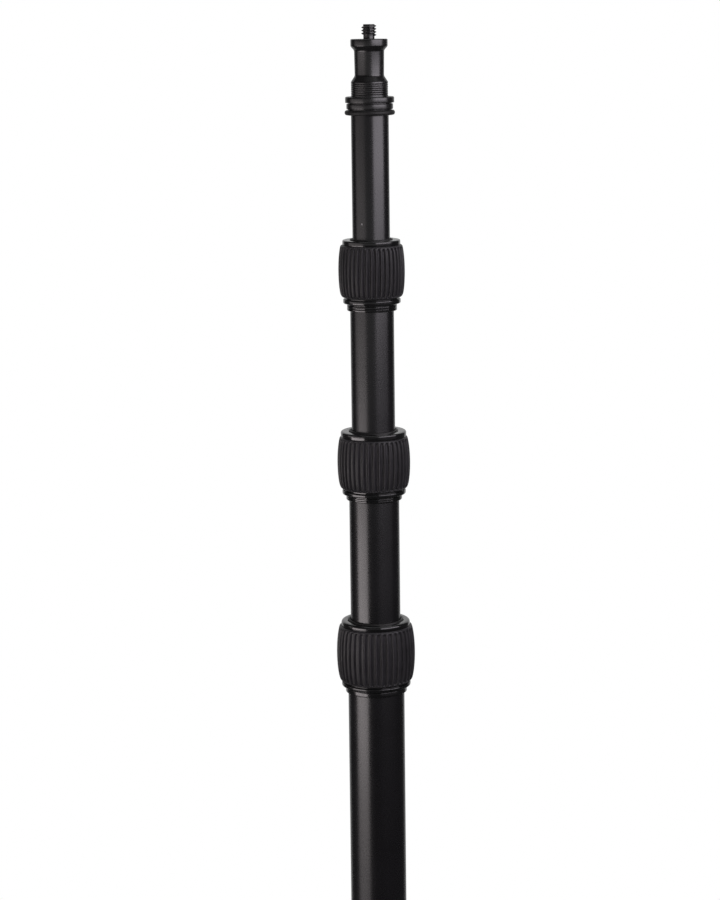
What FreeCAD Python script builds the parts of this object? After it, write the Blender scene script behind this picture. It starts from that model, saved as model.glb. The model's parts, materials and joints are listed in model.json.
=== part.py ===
import FreeCAD, Part
import math
import os
from FreeCAD import Vector

# A telescopic studio stand: four nested tubes with three twist locks and a 16 mm stud on top,
# standing in a base with three staggered legs that fold round it.
# Millimetres. +Z is up and the origin is on the floor under the column's axis. The high leg points along +Y.

UP = Vector(0, 0, 1)
OUTWARD = Vector(1, 0, 0)
SIDEWAYS = Vector(0, 1, 0)
ORIGIN = Vector(0, 0, 0)

# Column tubes, from the top one (0) down to the bottom one (3)
TUBE_R = [8.1, 9.5, 11.0, 12.5]
TUBE_WALL = 1.0
RUNNING_GAP = 0.05

# Heights: the lowest lock's foot, and how much of each upper tube stands out of its lock
LOWEST_LOCK_Z = 576.0
TUBE_SHOWN = [53.4, 53.1, 54.6]
BOTTOM_TUBE_END_Z = 52.0
TUBE_END_STEP = 78.0
TUBE_INTO_LOCK = 14.0
TUBE_TO_STUD = 0.5

# Twist locks, from the top one (0) down to the bottom one (2)
LOCKS = [
    {"ring_r": 12.55, "ring_h": 2.1, "grip_r": 13.45, "bulge_r": 14.4, "grip_h": 22.9,
     "lip_r": 12.5, "lip_h": 2.0, "seat_r": 10.85, "seat_h": 2.4},
    {"ring_r": 14.35, "ring_h": 2.4, "grip_r": 14.85, "bulge_r": 15.95, "grip_h": 23.2,
     "lip_r": 13.95, "lip_h": 1.8, "seat_r": 12.25, "seat_h": 1.8},
    {"ring_r": 15.2, "ring_h": 2.3, "grip_r": 16.1, "bulge_r": 17.35, "grip_h": 25.4,
     "lip_r": 15.3, "lip_h": 1.6, "seat_r": 13.65, "seat_h": 2.1},
]
LIP_TO_GRIP = 0.5
SEAT_TO_LIP = 0.7
RING_CHAMFER = 0.9
LIP_CHAMFER = 0.4
NUT_WALL = 1.2
NUT_TOP_H = 3.6
GRIP_CHAMFER = 0.5
FLUTE_COUNT = 40
FLUTE_R = 0.85
FLUTE_BAND = 2.4

# The fixed threaded sleeve, split collet and wiper of a twist lock
FERRULE_H = 18.0
FERRULE_CHAMFER = 0.25
FERRULE_LINE = 0.2
SEAT_TO_THREAD = 0.45
LOCK_THREAD_FOOT = 7.0
LOCK_THREAD_PITCH = 1.5
LOCK_THREAD_TURNS = 6
LOCK_THREAD_DEPTH = 0.35
LOCK_THREAD_SLOPE = 0.4
MOUTH_TAPER_TOP = 0.15
MOUTH_TAPER_FOOT = 0.6
COLLET_SLIT = 0.8
COLLET_UNCUT = 2.5
COLLET_FIT = 0.02
WIPER_H = 1.6
WIPER_LIP = 0.5
WIPER_GAP = 0.15
WIPER_WIDTH = 1.2
WIPER_LIP_WIDTH = 0.9
WIPER_RECESS = 0.4

# Stud: a 5/8 inch spigot with a 1/4 inch-20 thread on its end
STUD_R = 15.875 / 2
STUD_NECK_R = 12.7 / 2
STUD_H = 24.3
STUD_HEAD_H = 3.0
STUD_HEAD_TAPER = 1.8
STUD_HEAD_CHAMFER = 0.4
STUD_NECK_H = 10.7
STUD_FOOT_TAPER = 2.5
STUD_GROOVE_PITCH = 0.9
STUD_GROOVE_DEPTH = 0.22
STUD_SHANK_H = 24.0
STUD_SHANK_CHAMFER = 1.0
THREAD_R = 6.35 / 2
THREAD_PITCH = 1.27
THREAD_ROOT_R = THREAD_R - 0.62 * THREAD_PITCH
THREAD_CREST = 0.2
THREAD_H = 4.6
THREAD_START = 0.3
THREAD_END_FLAT = 0.65
THREAD_CHAMFER = 0.35
THREAD_NECK_R = 2.4
THREAD_NECK_H = 1.6

# Stop collar, its rubber bumper and its grub screw, under the stud
STOP_R = 10.5
STOP_MID_R = 10.0
STOP_GROOVE_R = 9.5
STOP_TOP_H = 2.6
STOP_GROOVE_H = 0.4
STOP_MID_H = 2.3
STOP_FOOT_H = 0.4
STOP_ROUND = 0.6
STOP_MID_CHAMFER = 0.2
BUMPER_R = 10.8
BUMPER_H = 2.1
GRUB_R = 1.5
GRUB_INNER_Y = 5.2
GRUB_SUNK = 0.2
GRUB_HEX_R = 0.87
GRUB_HEX_DEPTH = 1.5

# End guides of the inner tubes, and the bottom tube's end cap
GUIDE_FLANGE_H = 8.0
GUIDE_SPIGOT_H = 12.0
GUIDE_BORE_R = 3.0
GUIDE_CHAMFER = 0.6
GUIDE_SPIGOT_CHAMFER = 1.0
END_CAP_H = 4.0
END_CAP_CHAMFER = 0.8

# Base: a short sleeve that holds the column, with three leg collars stacked on it
SLEEVE_R = 15.0
SLEEVE_FOOT_Z = 46.0
SLEEVE_TOP_Z = 222.0
SLEEVE_CHAMFER = 0.8
SLEEVE_BORE_CHAMFER = 0.5
COLLAR_R = 20.0
COLLAR_H = 38.0
COLLAR_CHAMFER = 1.5
COLLAR_GAP = 0.06
LOW_COLLAR_Z = 60.0
SPACER_H = 2.0
SPACER_R = 18.5
SPACER_GAP = 0.04
SOCKET_R = 12.6
SOCKET_REACH = 46.0
SOCKET_RIM_R = 13.8
SOCKET_RIM_H = 5.0
CAP_R = 19.0
CAP_FOOT_Z = 36.0
CAP_FOOT_CHAMFER = 2.0
CAP_TOP_CHAMFER = 1.0
SPRING_H = 7.0
SPRING_SHEET = 1.2
SPRING_GAP = 0.02
SPRING_BORE_GAP = 0.3
SPACER_BORE_GAP = 0.1
CAP_GAP = 0.05

# Legs
LEG_R = 9.5
LEG_WALL = 1.5
LEG_BEND_R = 42.0
LEG_START = 24.0
LEG_LEVEL_RUN = 74.0
LEG_SLOPE = math.radians(50)
LEG_REACH = 392.0
LEG_AXIS_Z = 13.0
LEGS = {
    "low": {"level": 0, "azimuth": 330, "bore_r": SLEEVE_R + COLLAR_GAP},
    "mid": {"level": 1, "azimuth": 210, "bore_r": SLEEVE_R + COLLAR_GAP},
    "high": {"level": 2, "azimuth": 90, "bore_r": SLEEVE_R},
}
FOOT_R = 12.0
FOOT_LENGTH = 36.0
FOOT_WALL = 2.0
FOOT_TIP_ROUND = 1.5
SOLE_WIDTH = 17.0
SOLE_FROM_MOUTH = 3.0
SOLE_FROM_TIP = 3.0
SOLE_ROUND = 2.5
RIVET_R = 2.5
RIVET_HEAD_R = 4.2
RIVET_TIP_R = 2.8
RIVET_HEAD_H = 1.6
RIVET_RIM_H = 0.2
RIVET_SUNK = 0.4
RIVET_AT = 35.0

# Column clamp with its T-handle, which points along -Y
CLAMP_R = 21.0
CLAMP_H = 34.0
CLAMP_CHAMFER = 2.0
CLAMP_GAP = 0.05
CLAMP_BOSS_R = 9.5
CLAMP_BOSS_REACH = 33.0
SCREW_R = 4.0
SCREW_HEAD_R = 6.5
SCREW_HEAD_H = 14.0
SCREW_HEAD_ROUND = 1.2
SCREW_SHOWN = 9.0
PAD_LENGTH = 5.0
PAD_GAP = 0.08
PAD_TO_SCREW = 0.02
T_BAR_R = 3.2
T_BAR_LENGTH = 78.0
T_BAR_TILT = 25
T_CAP_R = 4.6
T_CAP_LENGTH = 10.5
T_CAP_MOUTH = 0.8
T_CAP_SIDE = 0.2
T_CAP_ROUND = 1.4

PAST = 1.0  # how far a cutter runs past what it cuts


def lock_height(lock):
    return lock["seat_h"] + SEAT_TO_LIP + lock["lip_h"] + LIP_TO_GRIP + lock["grip_h"] + lock["ring_h"]


def lock_feet():
    """The height of each lock's lowest face, worked up from the bottom lock."""
    feet = [LOWEST_LOCK_Z]
    for i in (2, 1):
        feet.insert(0, feet[0] + lock_height(LOCKS[i]) + TUBE_SHOWN[i])
    return feet


def collar_z(level):
    """The height of a collar's lower face; level 0 is the low leg's."""
    return LOW_COLLAR_Z + level * (COLLAR_H + SPACER_H)


# Heights that follow from the sizes above
LOCK_FOOT_Z = lock_feet()
STOP_FOOT_Z = LOCK_FOOT_Z[0] + lock_height(LOCKS[0]) + TUBE_SHOWN[0]
STOP_Z = STOP_FOOT_Z + BUMPER_H
GRUB_Z = STOP_Z + STOP_FOOT_H + STOP_MID_H / 2
STUD_FOOT_Z = STOP_Z + STOP_FOOT_H + STOP_MID_H + STOP_GROOVE_H + STOP_TOP_H
STUD_TOP_Z = STUD_FOOT_Z + STUD_H
TUBE_END_Z = [BOTTOM_TUBE_END_Z + TUBE_END_STEP * (3 - i) for i in range(4)]
TUBE_TOP_Z = [STUD_FOOT_Z - TUBE_TO_STUD] + [foot + TUBE_INTO_LOCK for foot in LOCK_FOOT_Z]
SPRING_FOOT_Z = LOW_COLLAR_Z - SPACER_H - SPRING_H
CLAMP_FOOT_Z = collar_z(3) - SPACER_H + CLAMP_GAP
CLAMP_Z = CLAMP_FOOT_Z + CLAMP_H / 2

# Places along the T-handle's screw, which points along -Y
PAD_END_Y = -(TUBE_R[3] + 0.1 + PAD_LENGTH)
HEAD_Y = -(CLAMP_BOSS_REACH + SCREW_SHOWN)
T_BAR_Y = HEAD_Y - SCREW_HEAD_H / 2


def lathe(points):
    """A solid of revolution about the Z axis from its (radius, height) outline."""
    corners = [Vector(r, 0, z) for r, z in points]
    face = Part.Face(Part.makePolygon(corners + corners[:1]))
    return face.revolve(ORIGIN, UP, 360)


def ring(inner_r, outer_r, low_z, high_z):
    return lathe([(inner_r, low_z), (outer_r, low_z), (outer_r, high_z), (inner_r, high_z)])


def drum(radius, low_z, high_z, chamfer):
    """A solid round block with both rims chamfered."""
    return lathe([
        (0, low_z),
        (radius - chamfer, low_z),
        (radius, low_z + chamfer),
        (radius, high_z - chamfer),
        (radius - chamfer, high_z),
        (0, high_z),
    ])


def rod(radius, start, end):
    """A round bar between two points."""
    return Part.makeCylinder(radius, (end - start).Length, start, end - start)


def turned(shape, degrees):
    """A copy of a shape turned about the column's axis."""
    copy = shape.copy()
    copy.rotate(ORIGIN, UP, degrees)
    return copy


def grub_hole():
    """The cutter for the grub screw, which enters the stop collar from behind."""
    return rod(GRUB_R, Vector(0, GRUB_INNER_Y, GRUB_Z), Vector(0, STOP_MID_R + PAST, GRUB_Z))


def tube(i):
    return ring(TUBE_R[i] - TUBE_WALL, TUBE_R[i], TUBE_END_Z[i], TUBE_TOP_Z[i])


def end_guide(i):
    """The plug in a tube's lower end. Its flange runs in the next tube down."""
    spigot_r = TUBE_R[i] - TUBE_WALL
    flange_r = TUBE_R[i + 1] - TUBE_WALL - RUNNING_GAP
    low = TUBE_END_Z[i] - GUIDE_FLANGE_H
    middle = TUBE_END_Z[i]
    high = middle + GUIDE_SPIGOT_H
    return lathe([
        (GUIDE_BORE_R, low),
        (flange_r - GUIDE_CHAMFER, low),
        (flange_r, low + GUIDE_CHAMFER),
        (flange_r, middle),
        (spigot_r, middle),
        (spigot_r, high - GUIDE_SPIGOT_CHAMFER),
        (spigot_r - GUIDE_SPIGOT_CHAMFER, high),
        (GUIDE_BORE_R, high),
    ])


def column_end_cap():
    """The plug in the bottom tube's lower end, which stands on the base's floor."""
    low = BOTTOM_TUBE_END_Z - END_CAP_H
    high = BOTTOM_TUBE_END_Z + GUIDE_SPIGOT_H
    return lathe([
        (0, low),
        (TUBE_R[3] - END_CAP_CHAMFER, low),
        (TUBE_R[3], low + END_CAP_CHAMFER),
        (TUBE_R[3], BOTTOM_TUBE_END_Z),
        (TUBE_R[3] - TUBE_WALL, BOTTOM_TUBE_END_Z),
        (TUBE_R[3] - TUBE_WALL, high),
        (0, high),
    ])


def thread_r(lock):
    return lock["seat_r"] - SEAT_TO_THREAD


def nut_bore(lock):
    return thread_r(lock) + RUNNING_GAP


def nut_core(lock):
    return nut_bore(lock) + NUT_WALL


def lip_foot(i):
    return LOCK_FOOT_Z[i] + LOCKS[i]["seat_h"] + SEAT_TO_LIP


def lock_top(i):
    return LOCK_FOOT_Z[i] + lock_height(LOCKS[i])


def ferrule(i):
    """The threaded sleeve fixed on a tube's upper end. Its mouth tapers in to squeeze the collet."""
    foot = LOCK_FOOT_Z[i]
    tube_r = TUBE_R[i + 1]
    seat_r = LOCKS[i]["seat_r"]
    crest = thread_r(LOCKS[i])
    seat_top = foot + LOCKS[i]["seat_h"]
    line_z = (foot + seat_top) / 2
    outline = [
        (tube_r, foot),
        (seat_r - FERRULE_CHAMFER, foot),
        (seat_r, foot + FERRULE_CHAMFER),
        (seat_r, line_z - FERRULE_LINE / 2),
        (seat_r - FERRULE_LINE, line_z),
        (seat_r, line_z + FERRULE_LINE / 2),
        (seat_r, seat_top),
        (crest, seat_top),
    ]
    for turn in range(LOCK_THREAD_TURNS):
        z = foot + LOCK_THREAD_FOOT + turn * LOCK_THREAD_PITCH
        outline += [
            (crest, z),
            (crest - LOCK_THREAD_DEPTH, z + LOCK_THREAD_SLOPE),
            (crest, z + 2 * LOCK_THREAD_SLOPE),
        ]
    outline += [
        (crest, foot + FERRULE_H),
        (tube_r - MOUTH_TAPER_TOP, foot + FERRULE_H),
        (tube_r - MOUTH_TAPER_FOOT, foot + TUBE_INTO_LOCK),
        (tube_r, foot + TUBE_INTO_LOCK),
    ]
    return lathe(outline)


def collet(i):
    """The split sleeve between the ferrule's taper and the inner tube."""
    inner_r = TUBE_R[i] + RUNNING_GAP
    tube_r = TUBE_R[i + 1]
    mouth = LOCK_FOOT_Z[i] + FERRULE_H
    low = LOCK_FOOT_Z[i] + TUBE_INTO_LOCK + 0.3
    top = lock_top(i) - NUT_TOP_H - COLLET_FIT
    body = lathe([
        (inner_r, low),
        (tube_r - MOUTH_TAPER_FOOT - 0.05, low),
        (tube_r - MOUTH_TAPER_TOP - 0.1, mouth - 0.2),
        (tube_r - MOUTH_TAPER_TOP - 0.1, mouth + 0.6),
        (tube_r + 0.2, mouth + 1.0),
        (tube_r + 0.2, top),
        (inner_r, top),
    ])
    slits = []
    for turn in range(3):
        corner = Vector(-2 * tube_r, -COLLET_SLIT / 2, low)
        slit = Part.makeBox(4 * tube_r, COLLET_SLIT, top - COLLET_UNCUT - low, corner)
        slits.append(turned(slit, 60 * turn))
    return body.cut(slits)


def nut(i):
    """The turned shell of a twist lock: a bevelled ring on top, a core under the grip and a lip below."""
    lock = LOCKS[i]
    tube_r = TUBE_R[i]
    bore = nut_bore(lock)
    core = nut_core(lock)
    lip_low = lip_foot(i)
    lip_high = lip_low + lock["lip_h"]
    top = lock_top(i)
    ring_low = top - lock["ring_h"]
    return lathe([
        (bore, lip_low),
        (lock["lip_r"] - LIP_CHAMFER, lip_low),
        (lock["lip_r"], lip_low + LIP_CHAMFER),
        (lock["lip_r"], lip_high - LIP_CHAMFER),
        (lock["lip_r"] - LIP_CHAMFER, lip_high),
        (core, lip_high),
        (core, ring_low),
        (lock["ring_r"], ring_low),
        (lock["ring_r"], top - RING_CHAMFER),
        (lock["ring_r"] - RING_CHAMFER, top),
        (tube_r + WIPER_WIDTH, top),
        (tube_r + WIPER_WIDTH, top - WIPER_H),
        (tube_r + WIPER_RECESS, top - WIPER_H),
        (tube_r + WIPER_RECESS, top - NUT_TOP_H),
        (bore, top - NUT_TOP_H),
    ])


def wiper(i):
    """The soft ring in the top of a twist lock that keeps dirt off the inner tube."""
    top = lock_top(i)
    tube_r = TUBE_R[i]
    return lathe([
        (tube_r + WIPER_GAP, top - WIPER_H),
        (tube_r + WIPER_WIDTH, top - WIPER_H),
        (tube_r + WIPER_WIDTH, top),
        (tube_r + WIPER_LIP_WIDTH, top + WIPER_LIP),
        (tube_r + WIPER_GAP, top + WIPER_LIP),
    ])


def barrel_arc(lock):
    """The radius of the arc that a grip's side follows."""
    half_chord = lock["grip_h"] / 2 - GRIP_CHAMFER
    rise = lock["bulge_r"] - lock["grip_r"]
    return (half_chord**2 + rise**2) / (2 * rise)


def barrel(lock, low):
    """The barrel-shaped rubber sleeve before its flutes are cut."""
    high = low + lock["grip_h"]
    core = nut_core(lock)
    end_r = lock["grip_r"]
    low_side = Vector(end_r, 0, low + GRIP_CHAMFER)
    high_side = Vector(end_r, 0, high - GRIP_CHAMFER)
    crown = Vector(lock["bulge_r"], 0, (low + high) / 2)
    sides = [
        Part.makeLine(Vector(core, 0, high), Vector(core, 0, low)),
        Part.makeLine(Vector(core, 0, low), Vector(end_r - GRIP_CHAMFER, 0, low)),
        Part.makeLine(Vector(end_r - GRIP_CHAMFER, 0, low), low_side),
        Part.Arc(low_side, crown, high_side).toShape(),
        Part.makeLine(high_side, Vector(end_r - GRIP_CHAMFER, 0, high)),
        Part.makeLine(Vector(end_r - GRIP_CHAMFER, 0, high), Vector(core, 0, high)),
    ]
    return Part.Face(Part.Wire(sides)).revolve(ORIGIN, UP, 360)


def grip(i):
    """A rubber grip with upright flutes cut round it, each following the bulge."""
    lock = LOCKS[i]
    low = lip_foot(i) + lock["lip_h"] + LIP_TO_GRIP
    middle = low + lock["grip_h"] / 2
    arc_r = barrel_arc(lock)
    centre = Vector(lock["bulge_r"] - arc_r, 0, middle)
    reach = math.degrees(math.asin((lock["grip_h"] / 2 - FLUTE_BAND) / arc_r))
    disc = Part.Face(Part.Wire(Part.makeCircle(FLUTE_R, Vector(lock["bulge_r"], 0, middle), UP)))
    disc.rotate(centre, SIDEWAYS, -reach)
    flute = disc.revolve(centre, SIDEWAYS, 2 * reach)
    step = 360 / FLUTE_COUNT
    return barrel(lock, low).cut([turned(flute, step * (turn + 0.5)) for turn in range(FLUTE_COUNT)])


def stud():
    """The spigot: a threaded tip, a round head, an undercut neck and a grooved foot on a shank."""
    foot = STUD_FOOT_Z
    top = STUD_TOP_Z
    groove_r = STUD_R - STUD_GROOVE_DEPTH
    head_low = top - STUD_HEAD_H
    neck_high = head_low - STUD_HEAD_TAPER
    neck_low = neck_high - STUD_NECK_H
    foot_high = neck_low - STUD_FOOT_TAPER
    shank_r = TUBE_R[0] - TUBE_WALL
    outline = [
        (0, foot - STUD_SHANK_H),
        (shank_r - STUD_SHANK_CHAMFER, foot - STUD_SHANK_H),
        (shank_r, foot - STUD_SHANK_H + STUD_SHANK_CHAMFER),
        (shank_r, TUBE_TOP_Z[0]),
        (groove_r, TUBE_TOP_Z[0]),
        (groove_r, foot),
        (STUD_R, foot + STUD_GROOVE_DEPTH),
    ]
    for groove in range(1, int((foot_high - foot) / STUD_GROOVE_PITCH)):
        z = foot + groove * STUD_GROOVE_PITCH
        outline += [
            (STUD_R, z - STUD_GROOVE_DEPTH),
            (groove_r, z),
            (STUD_R, z + STUD_GROOVE_DEPTH),
        ]
    thread_low = top + THREAD_NECK_H
    thread_top = thread_low + THREAD_H
    outline += [
        (STUD_R, foot_high),
        (STUD_NECK_R, neck_low),
        (STUD_NECK_R, neck_high),
        (STUD_R, head_low),
        (STUD_R, top - STUD_HEAD_CHAMFER),
        (STUD_R - STUD_HEAD_CHAMFER, top),
        (THREAD_NECK_R, top),
        (THREAD_NECK_R, thread_low),
    ]
    for turn in range(int(THREAD_H / THREAD_PITCH)):
        z = thread_low + THREAD_START + turn * THREAD_PITCH
        outline += [
            (THREAD_R, z),
            (THREAD_R, z + THREAD_CREST),
            (THREAD_ROOT_R, z + (THREAD_PITCH + THREAD_CREST) / 2),
        ]
    outline += [
        (THREAD_R, thread_top - THREAD_END_FLAT),
        (THREAD_R, thread_top - THREAD_CHAMFER),
        (THREAD_R - THREAD_CHAMFER, thread_top),
        (0, thread_top),
    ]
    return lathe(outline).cut(grub_hole())


def stop_ring():
    """The ridged collar round the upper tube's end."""
    mid_low = STOP_Z + STOP_FOOT_H
    mid_high = mid_low + STOP_MID_H
    top_low = mid_high + STOP_GROOVE_H
    top = top_low + STOP_TOP_H
    collar = lathe([
        (TUBE_R[0], STOP_Z),
        (STOP_GROOVE_R, STOP_Z),
        (STOP_GROOVE_R, mid_low),
        (STOP_MID_R, mid_low + STOP_MID_CHAMFER),
        (STOP_MID_R, mid_high - STOP_MID_CHAMFER),
        (STOP_GROOVE_R, mid_high),
        (STOP_GROOVE_R, top_low),
        (STOP_R - STOP_ROUND / 2, top_low),
        (STOP_R, top_low + STOP_ROUND),
        (STOP_R, top - STOP_ROUND),
        (STOP_R - STOP_ROUND, top),
        (TUBE_R[0], top),
    ])
    return collar.cut(grub_hole())


def bumper_ring():
    """The rubber ring under the stop collar, rounded outside."""
    low = STOP_FOOT_Z
    high = low + BUMPER_H
    round_r = BUMPER_H / 2
    flat_r = BUMPER_R - round_r
    crown = Vector(BUMPER_R, 0, low + round_r)
    sides = [
        Part.makeLine(Vector(TUBE_R[0], 0, high), Vector(TUBE_R[0], 0, low)),
        Part.makeLine(Vector(TUBE_R[0], 0, low), Vector(flat_r, 0, low)),
        Part.Arc(Vector(flat_r, 0, low), crown, Vector(flat_r, 0, high)).toShape(),
        Part.makeLine(Vector(flat_r, 0, high), Vector(TUBE_R[0], 0, high)),
    ]
    return Part.Face(Part.Wire(sides)).revolve(ORIGIN, UP, 360)


def grub_screw():
    """A headless screw with a hexagon socket that holds the collar, tube and stud together."""
    end_y = STOP_MID_R - GRUB_SUNK
    screw = rod(GRUB_R, Vector(0, GRUB_INNER_Y, GRUB_Z), Vector(0, end_y, GRUB_Z))
    corners = []
    for corner in range(7):
        angle = math.radians(60 * corner)
        x = GRUB_HEX_R * math.cos(angle)
        z = GRUB_Z + GRUB_HEX_R * math.sin(angle)
        corners.append(Vector(x, end_y - GRUB_HEX_DEPTH, z))
    socket = Part.Face(Part.makePolygon(corners)).extrude(SIDEWAYS * (GRUB_HEX_DEPTH + PAST))
    return screw.cut(socket)


def base_sleeve():
    """The steel tube that the column stands in and the leg collars turn on."""
    bore_r = TUBE_R[3] + RUNNING_GAP
    sleeve = lathe([
        (bore_r, SLEEVE_FOOT_Z),
        (SLEEVE_R, SLEEVE_FOOT_Z),
        (SLEEVE_R, SLEEVE_TOP_Z - SLEEVE_CHAMFER),
        (SLEEVE_R - SLEEVE_CHAMFER, SLEEVE_TOP_Z),
        (bore_r + SLEEVE_BORE_CHAMFER, SLEEVE_TOP_Z),
        (bore_r, SLEEVE_TOP_Z - SLEEVE_BORE_CHAMFER),
    ])
    return sleeve.cut(rod(SCREW_R, Vector(0, -TUBE_R[3] / 2, CLAMP_Z), Vector(0, -SLEEVE_R - PAST, CLAMP_Z)))


def base_cap():
    """The cap under the sleeve: the column's floor and the lower stop of the collar stack."""
    floor_z = BOTTOM_TUBE_END_Z - END_CAP_H - CAP_GAP
    return lathe([
        (0, CAP_FOOT_Z),
        (CAP_R - CAP_FOOT_CHAMFER, CAP_FOOT_Z),
        (CAP_R, CAP_FOOT_Z + CAP_FOOT_CHAMFER),
        (CAP_R, SPRING_FOOT_Z - CAP_TOP_CHAMFER),
        (CAP_R - CAP_TOP_CHAMFER, SPRING_FOOT_Z),
        (SLEEVE_R, SPRING_FOOT_Z),
        (SLEEVE_R, SLEEVE_FOOT_Z),
        (TUBE_R[3], SLEEVE_FOOT_Z),
        (TUBE_R[3], floor_z),
        (0, floor_z),
    ])


def disc_springs():
    """Two dished steel springs, back to back, that press the collar stack together."""
    inner_r = SLEEVE_R + SPRING_BORE_GAP
    middle = SPRING_FOOT_Z + SPRING_H / 2
    solids = []
    for way in (-1, 1):
        solids.append(lathe([
            (inner_r, middle + way * (SPRING_H / 2 - SPRING_SHEET)),
            (inner_r, middle + way * SPRING_H / 2),
            (SPACER_R, middle + way * (SPRING_SHEET + SPRING_GAP)),
            (SPACER_R, middle + way * SPRING_GAP),
        ]))
    return Part.makeCompound(solids)


def spacers():
    """The thin nylon washers between the collars."""
    inner_r = SLEEVE_R + SPACER_BORE_GAP
    solids = []
    for level in range(3):
        high = collar_z(level)
        solids.append(ring(inner_r, SPACER_R, high - SPACER_H + SPACER_GAP, high - SPACER_GAP))
    return Part.makeCompound(solids)


def socket_z(level):
    """The height of a leg's axis in its socket."""
    return collar_z(level) + COLLAR_H / 2


def rivet_bar(axis_z):
    """The cutter for a rivet's hole, through a socket and its leg."""
    half = SOCKET_R + PAST
    return rod(RIVET_R, Vector(RIVET_AT, 0, axis_z - half), Vector(RIVET_AT, 0, axis_z + half))


def rivet_seat(axis_z):
    """The cutters that let a rivet's two heads sit on the round socket."""
    return [
        rod(RIVET_HEAD_R, Vector(RIVET_AT, 0, axis_z + way * (SOCKET_R - RIVET_SUNK)),
            Vector(RIVET_AT, 0, axis_z + way * (SOCKET_R + PAST)))
        for way in (-1, 1)
    ]


def leg_collar(leg):
    """A cast collar with a socket that holds one leg."""
    low = collar_z(leg["level"])
    high = low + COLLAR_H
    axis_z = socket_z(leg["level"])
    hub = drum(COLLAR_R, low, high, COLLAR_CHAMFER)
    socket = rod(SOCKET_R, Vector(0, 0, axis_z), Vector(SOCKET_REACH, 0, axis_z))
    rim = rod(SOCKET_RIM_R, Vector(SOCKET_REACH - SOCKET_RIM_H, 0, axis_z), Vector(SOCKET_REACH, 0, axis_z))
    bore = rod(leg["bore_r"], Vector(0, 0, low - PAST), Vector(0, 0, high + PAST))
    leg_hole = rod(LEG_R, Vector(LEG_START, 0, axis_z), Vector(SOCKET_REACH + PAST, 0, axis_z))
    solid = hub.fuse([socket, rim]).cut([bore, leg_hole, rivet_bar(axis_z), *rivet_seat(axis_z)])
    return turned(solid.removeSplitter(), leg["azimuth"])


def leg_rivet(leg):
    """The steel rivet through a socket and its leg."""
    head_foot = SOCKET_R - RIVET_SUNK
    head_top = SOCKET_R + RIVET_HEAD_H
    half = [
        (RIVET_R, head_foot),
        (RIVET_HEAD_R, head_foot),
        (RIVET_HEAD_R, SOCKET_R + RIVET_RIM_H),
        (RIVET_TIP_R, head_top),
        (0, head_top),
    ]
    mirrored = [(r, -z) for r, z in reversed(half)]
    rivet = lathe(mirrored + half)
    rivet.translate(Vector(RIVET_AT, 0, socket_z(leg["level"])))
    return turned(rivet, leg["azimuth"])


def leg_route(level):
    """The corners of a leg's centre line in its own upright plane, from the socket to the tip."""
    axis_z = socket_z(level)
    slope_run = (axis_z - LEG_AXIS_Z) / math.tan(LEG_SLOPE)
    return [
        Vector(LEG_START, 0, axis_z),
        Vector(LEG_LEVEL_RUN, 0, axis_z),
        Vector(LEG_LEVEL_RUN + slope_run, 0, LEG_AXIS_Z),
        Vector(LEG_REACH, 0, LEG_AXIS_Z),
    ]


def bent_path(corners, bend_r):
    """Straight runs joined by arcs that touch them."""
    edges = []
    start = corners[0]
    for before, corner, after in zip(corners, corners[1:], corners[2:]):
        back = (before - corner).normalize()
        ahead = (after - corner).normalize()
        half = math.acos(back.dot(ahead)) / 2
        first = corner + back * (bend_r / math.tan(half))
        last = corner + ahead * (bend_r / math.tan(half))
        towards = (back + ahead).normalize()
        crown = corner + towards * (bend_r / math.sin(half) - bend_r)
        edges.append(Part.makeLine(start, first))
        edges.append(Part.Arc(first, crown, last).toShape())
        start = last
    edges.append(Part.makeLine(start, corners[-1]))
    return Part.Wire(edges)


def bent_bar(path, start, radius):
    profile = Part.Wire(Part.makeCircle(radius, start, OUTWARD))
    return path.makePipeShell([profile], True, False)


def leg_tube(leg):
    """One bent steel leg: level at the socket, then down, then level just above the floor."""
    corners = leg_route(leg["level"])
    path = bent_path(corners, LEG_BEND_R)
    outer = bent_bar(path, corners[0], LEG_R)
    inner = bent_bar(path, corners[0], LEG_R - LEG_WALL)
    tube_solid = outer.cut(inner).cut(rivet_bar(corners[0].z))
    return turned(tube_solid.Solids[0], leg["azimuth"])


def leg_foot(leg):
    """A rubber boot over a leg's tip with a flat sole on the floor."""
    mouth = LEG_REACH - FOOT_LENGTH
    tip = LEG_REACH + FOOT_WALL
    boot = rod(FOOT_R, Vector(mouth, 0, LEG_AXIS_Z), Vector(tip, 0, LEG_AXIS_Z))
    tip_edges = [edge for edge in boot.Edges if abs(edge.CenterOfMass.x - tip) < 0.01]
    boot = boot.makeFillet(FOOT_TIP_ROUND, tip_edges)
    sole_corner = Vector(mouth + SOLE_FROM_MOUTH, -SOLE_WIDTH / 2, 0)
    sole_length = FOOT_LENGTH + FOOT_WALL - SOLE_FROM_MOUTH - SOLE_FROM_TIP
    sole = Part.makeBox(sole_length, SOLE_WIDTH, LEG_AXIS_Z, sole_corner)
    upright_edges = [edge for edge in sole.Edges if abs(edge.Length - LEG_AXIS_Z) < 0.01]
    sole = sole.makeFillet(SOLE_ROUND, upright_edges)
    hole = rod(LEG_R, Vector(mouth - PAST, 0, LEG_AXIS_Z), Vector(LEG_REACH, 0, LEG_AXIS_Z))
    return turned(boot.fuse(sole).cut(hole).removeSplitter(), leg["azimuth"])


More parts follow.
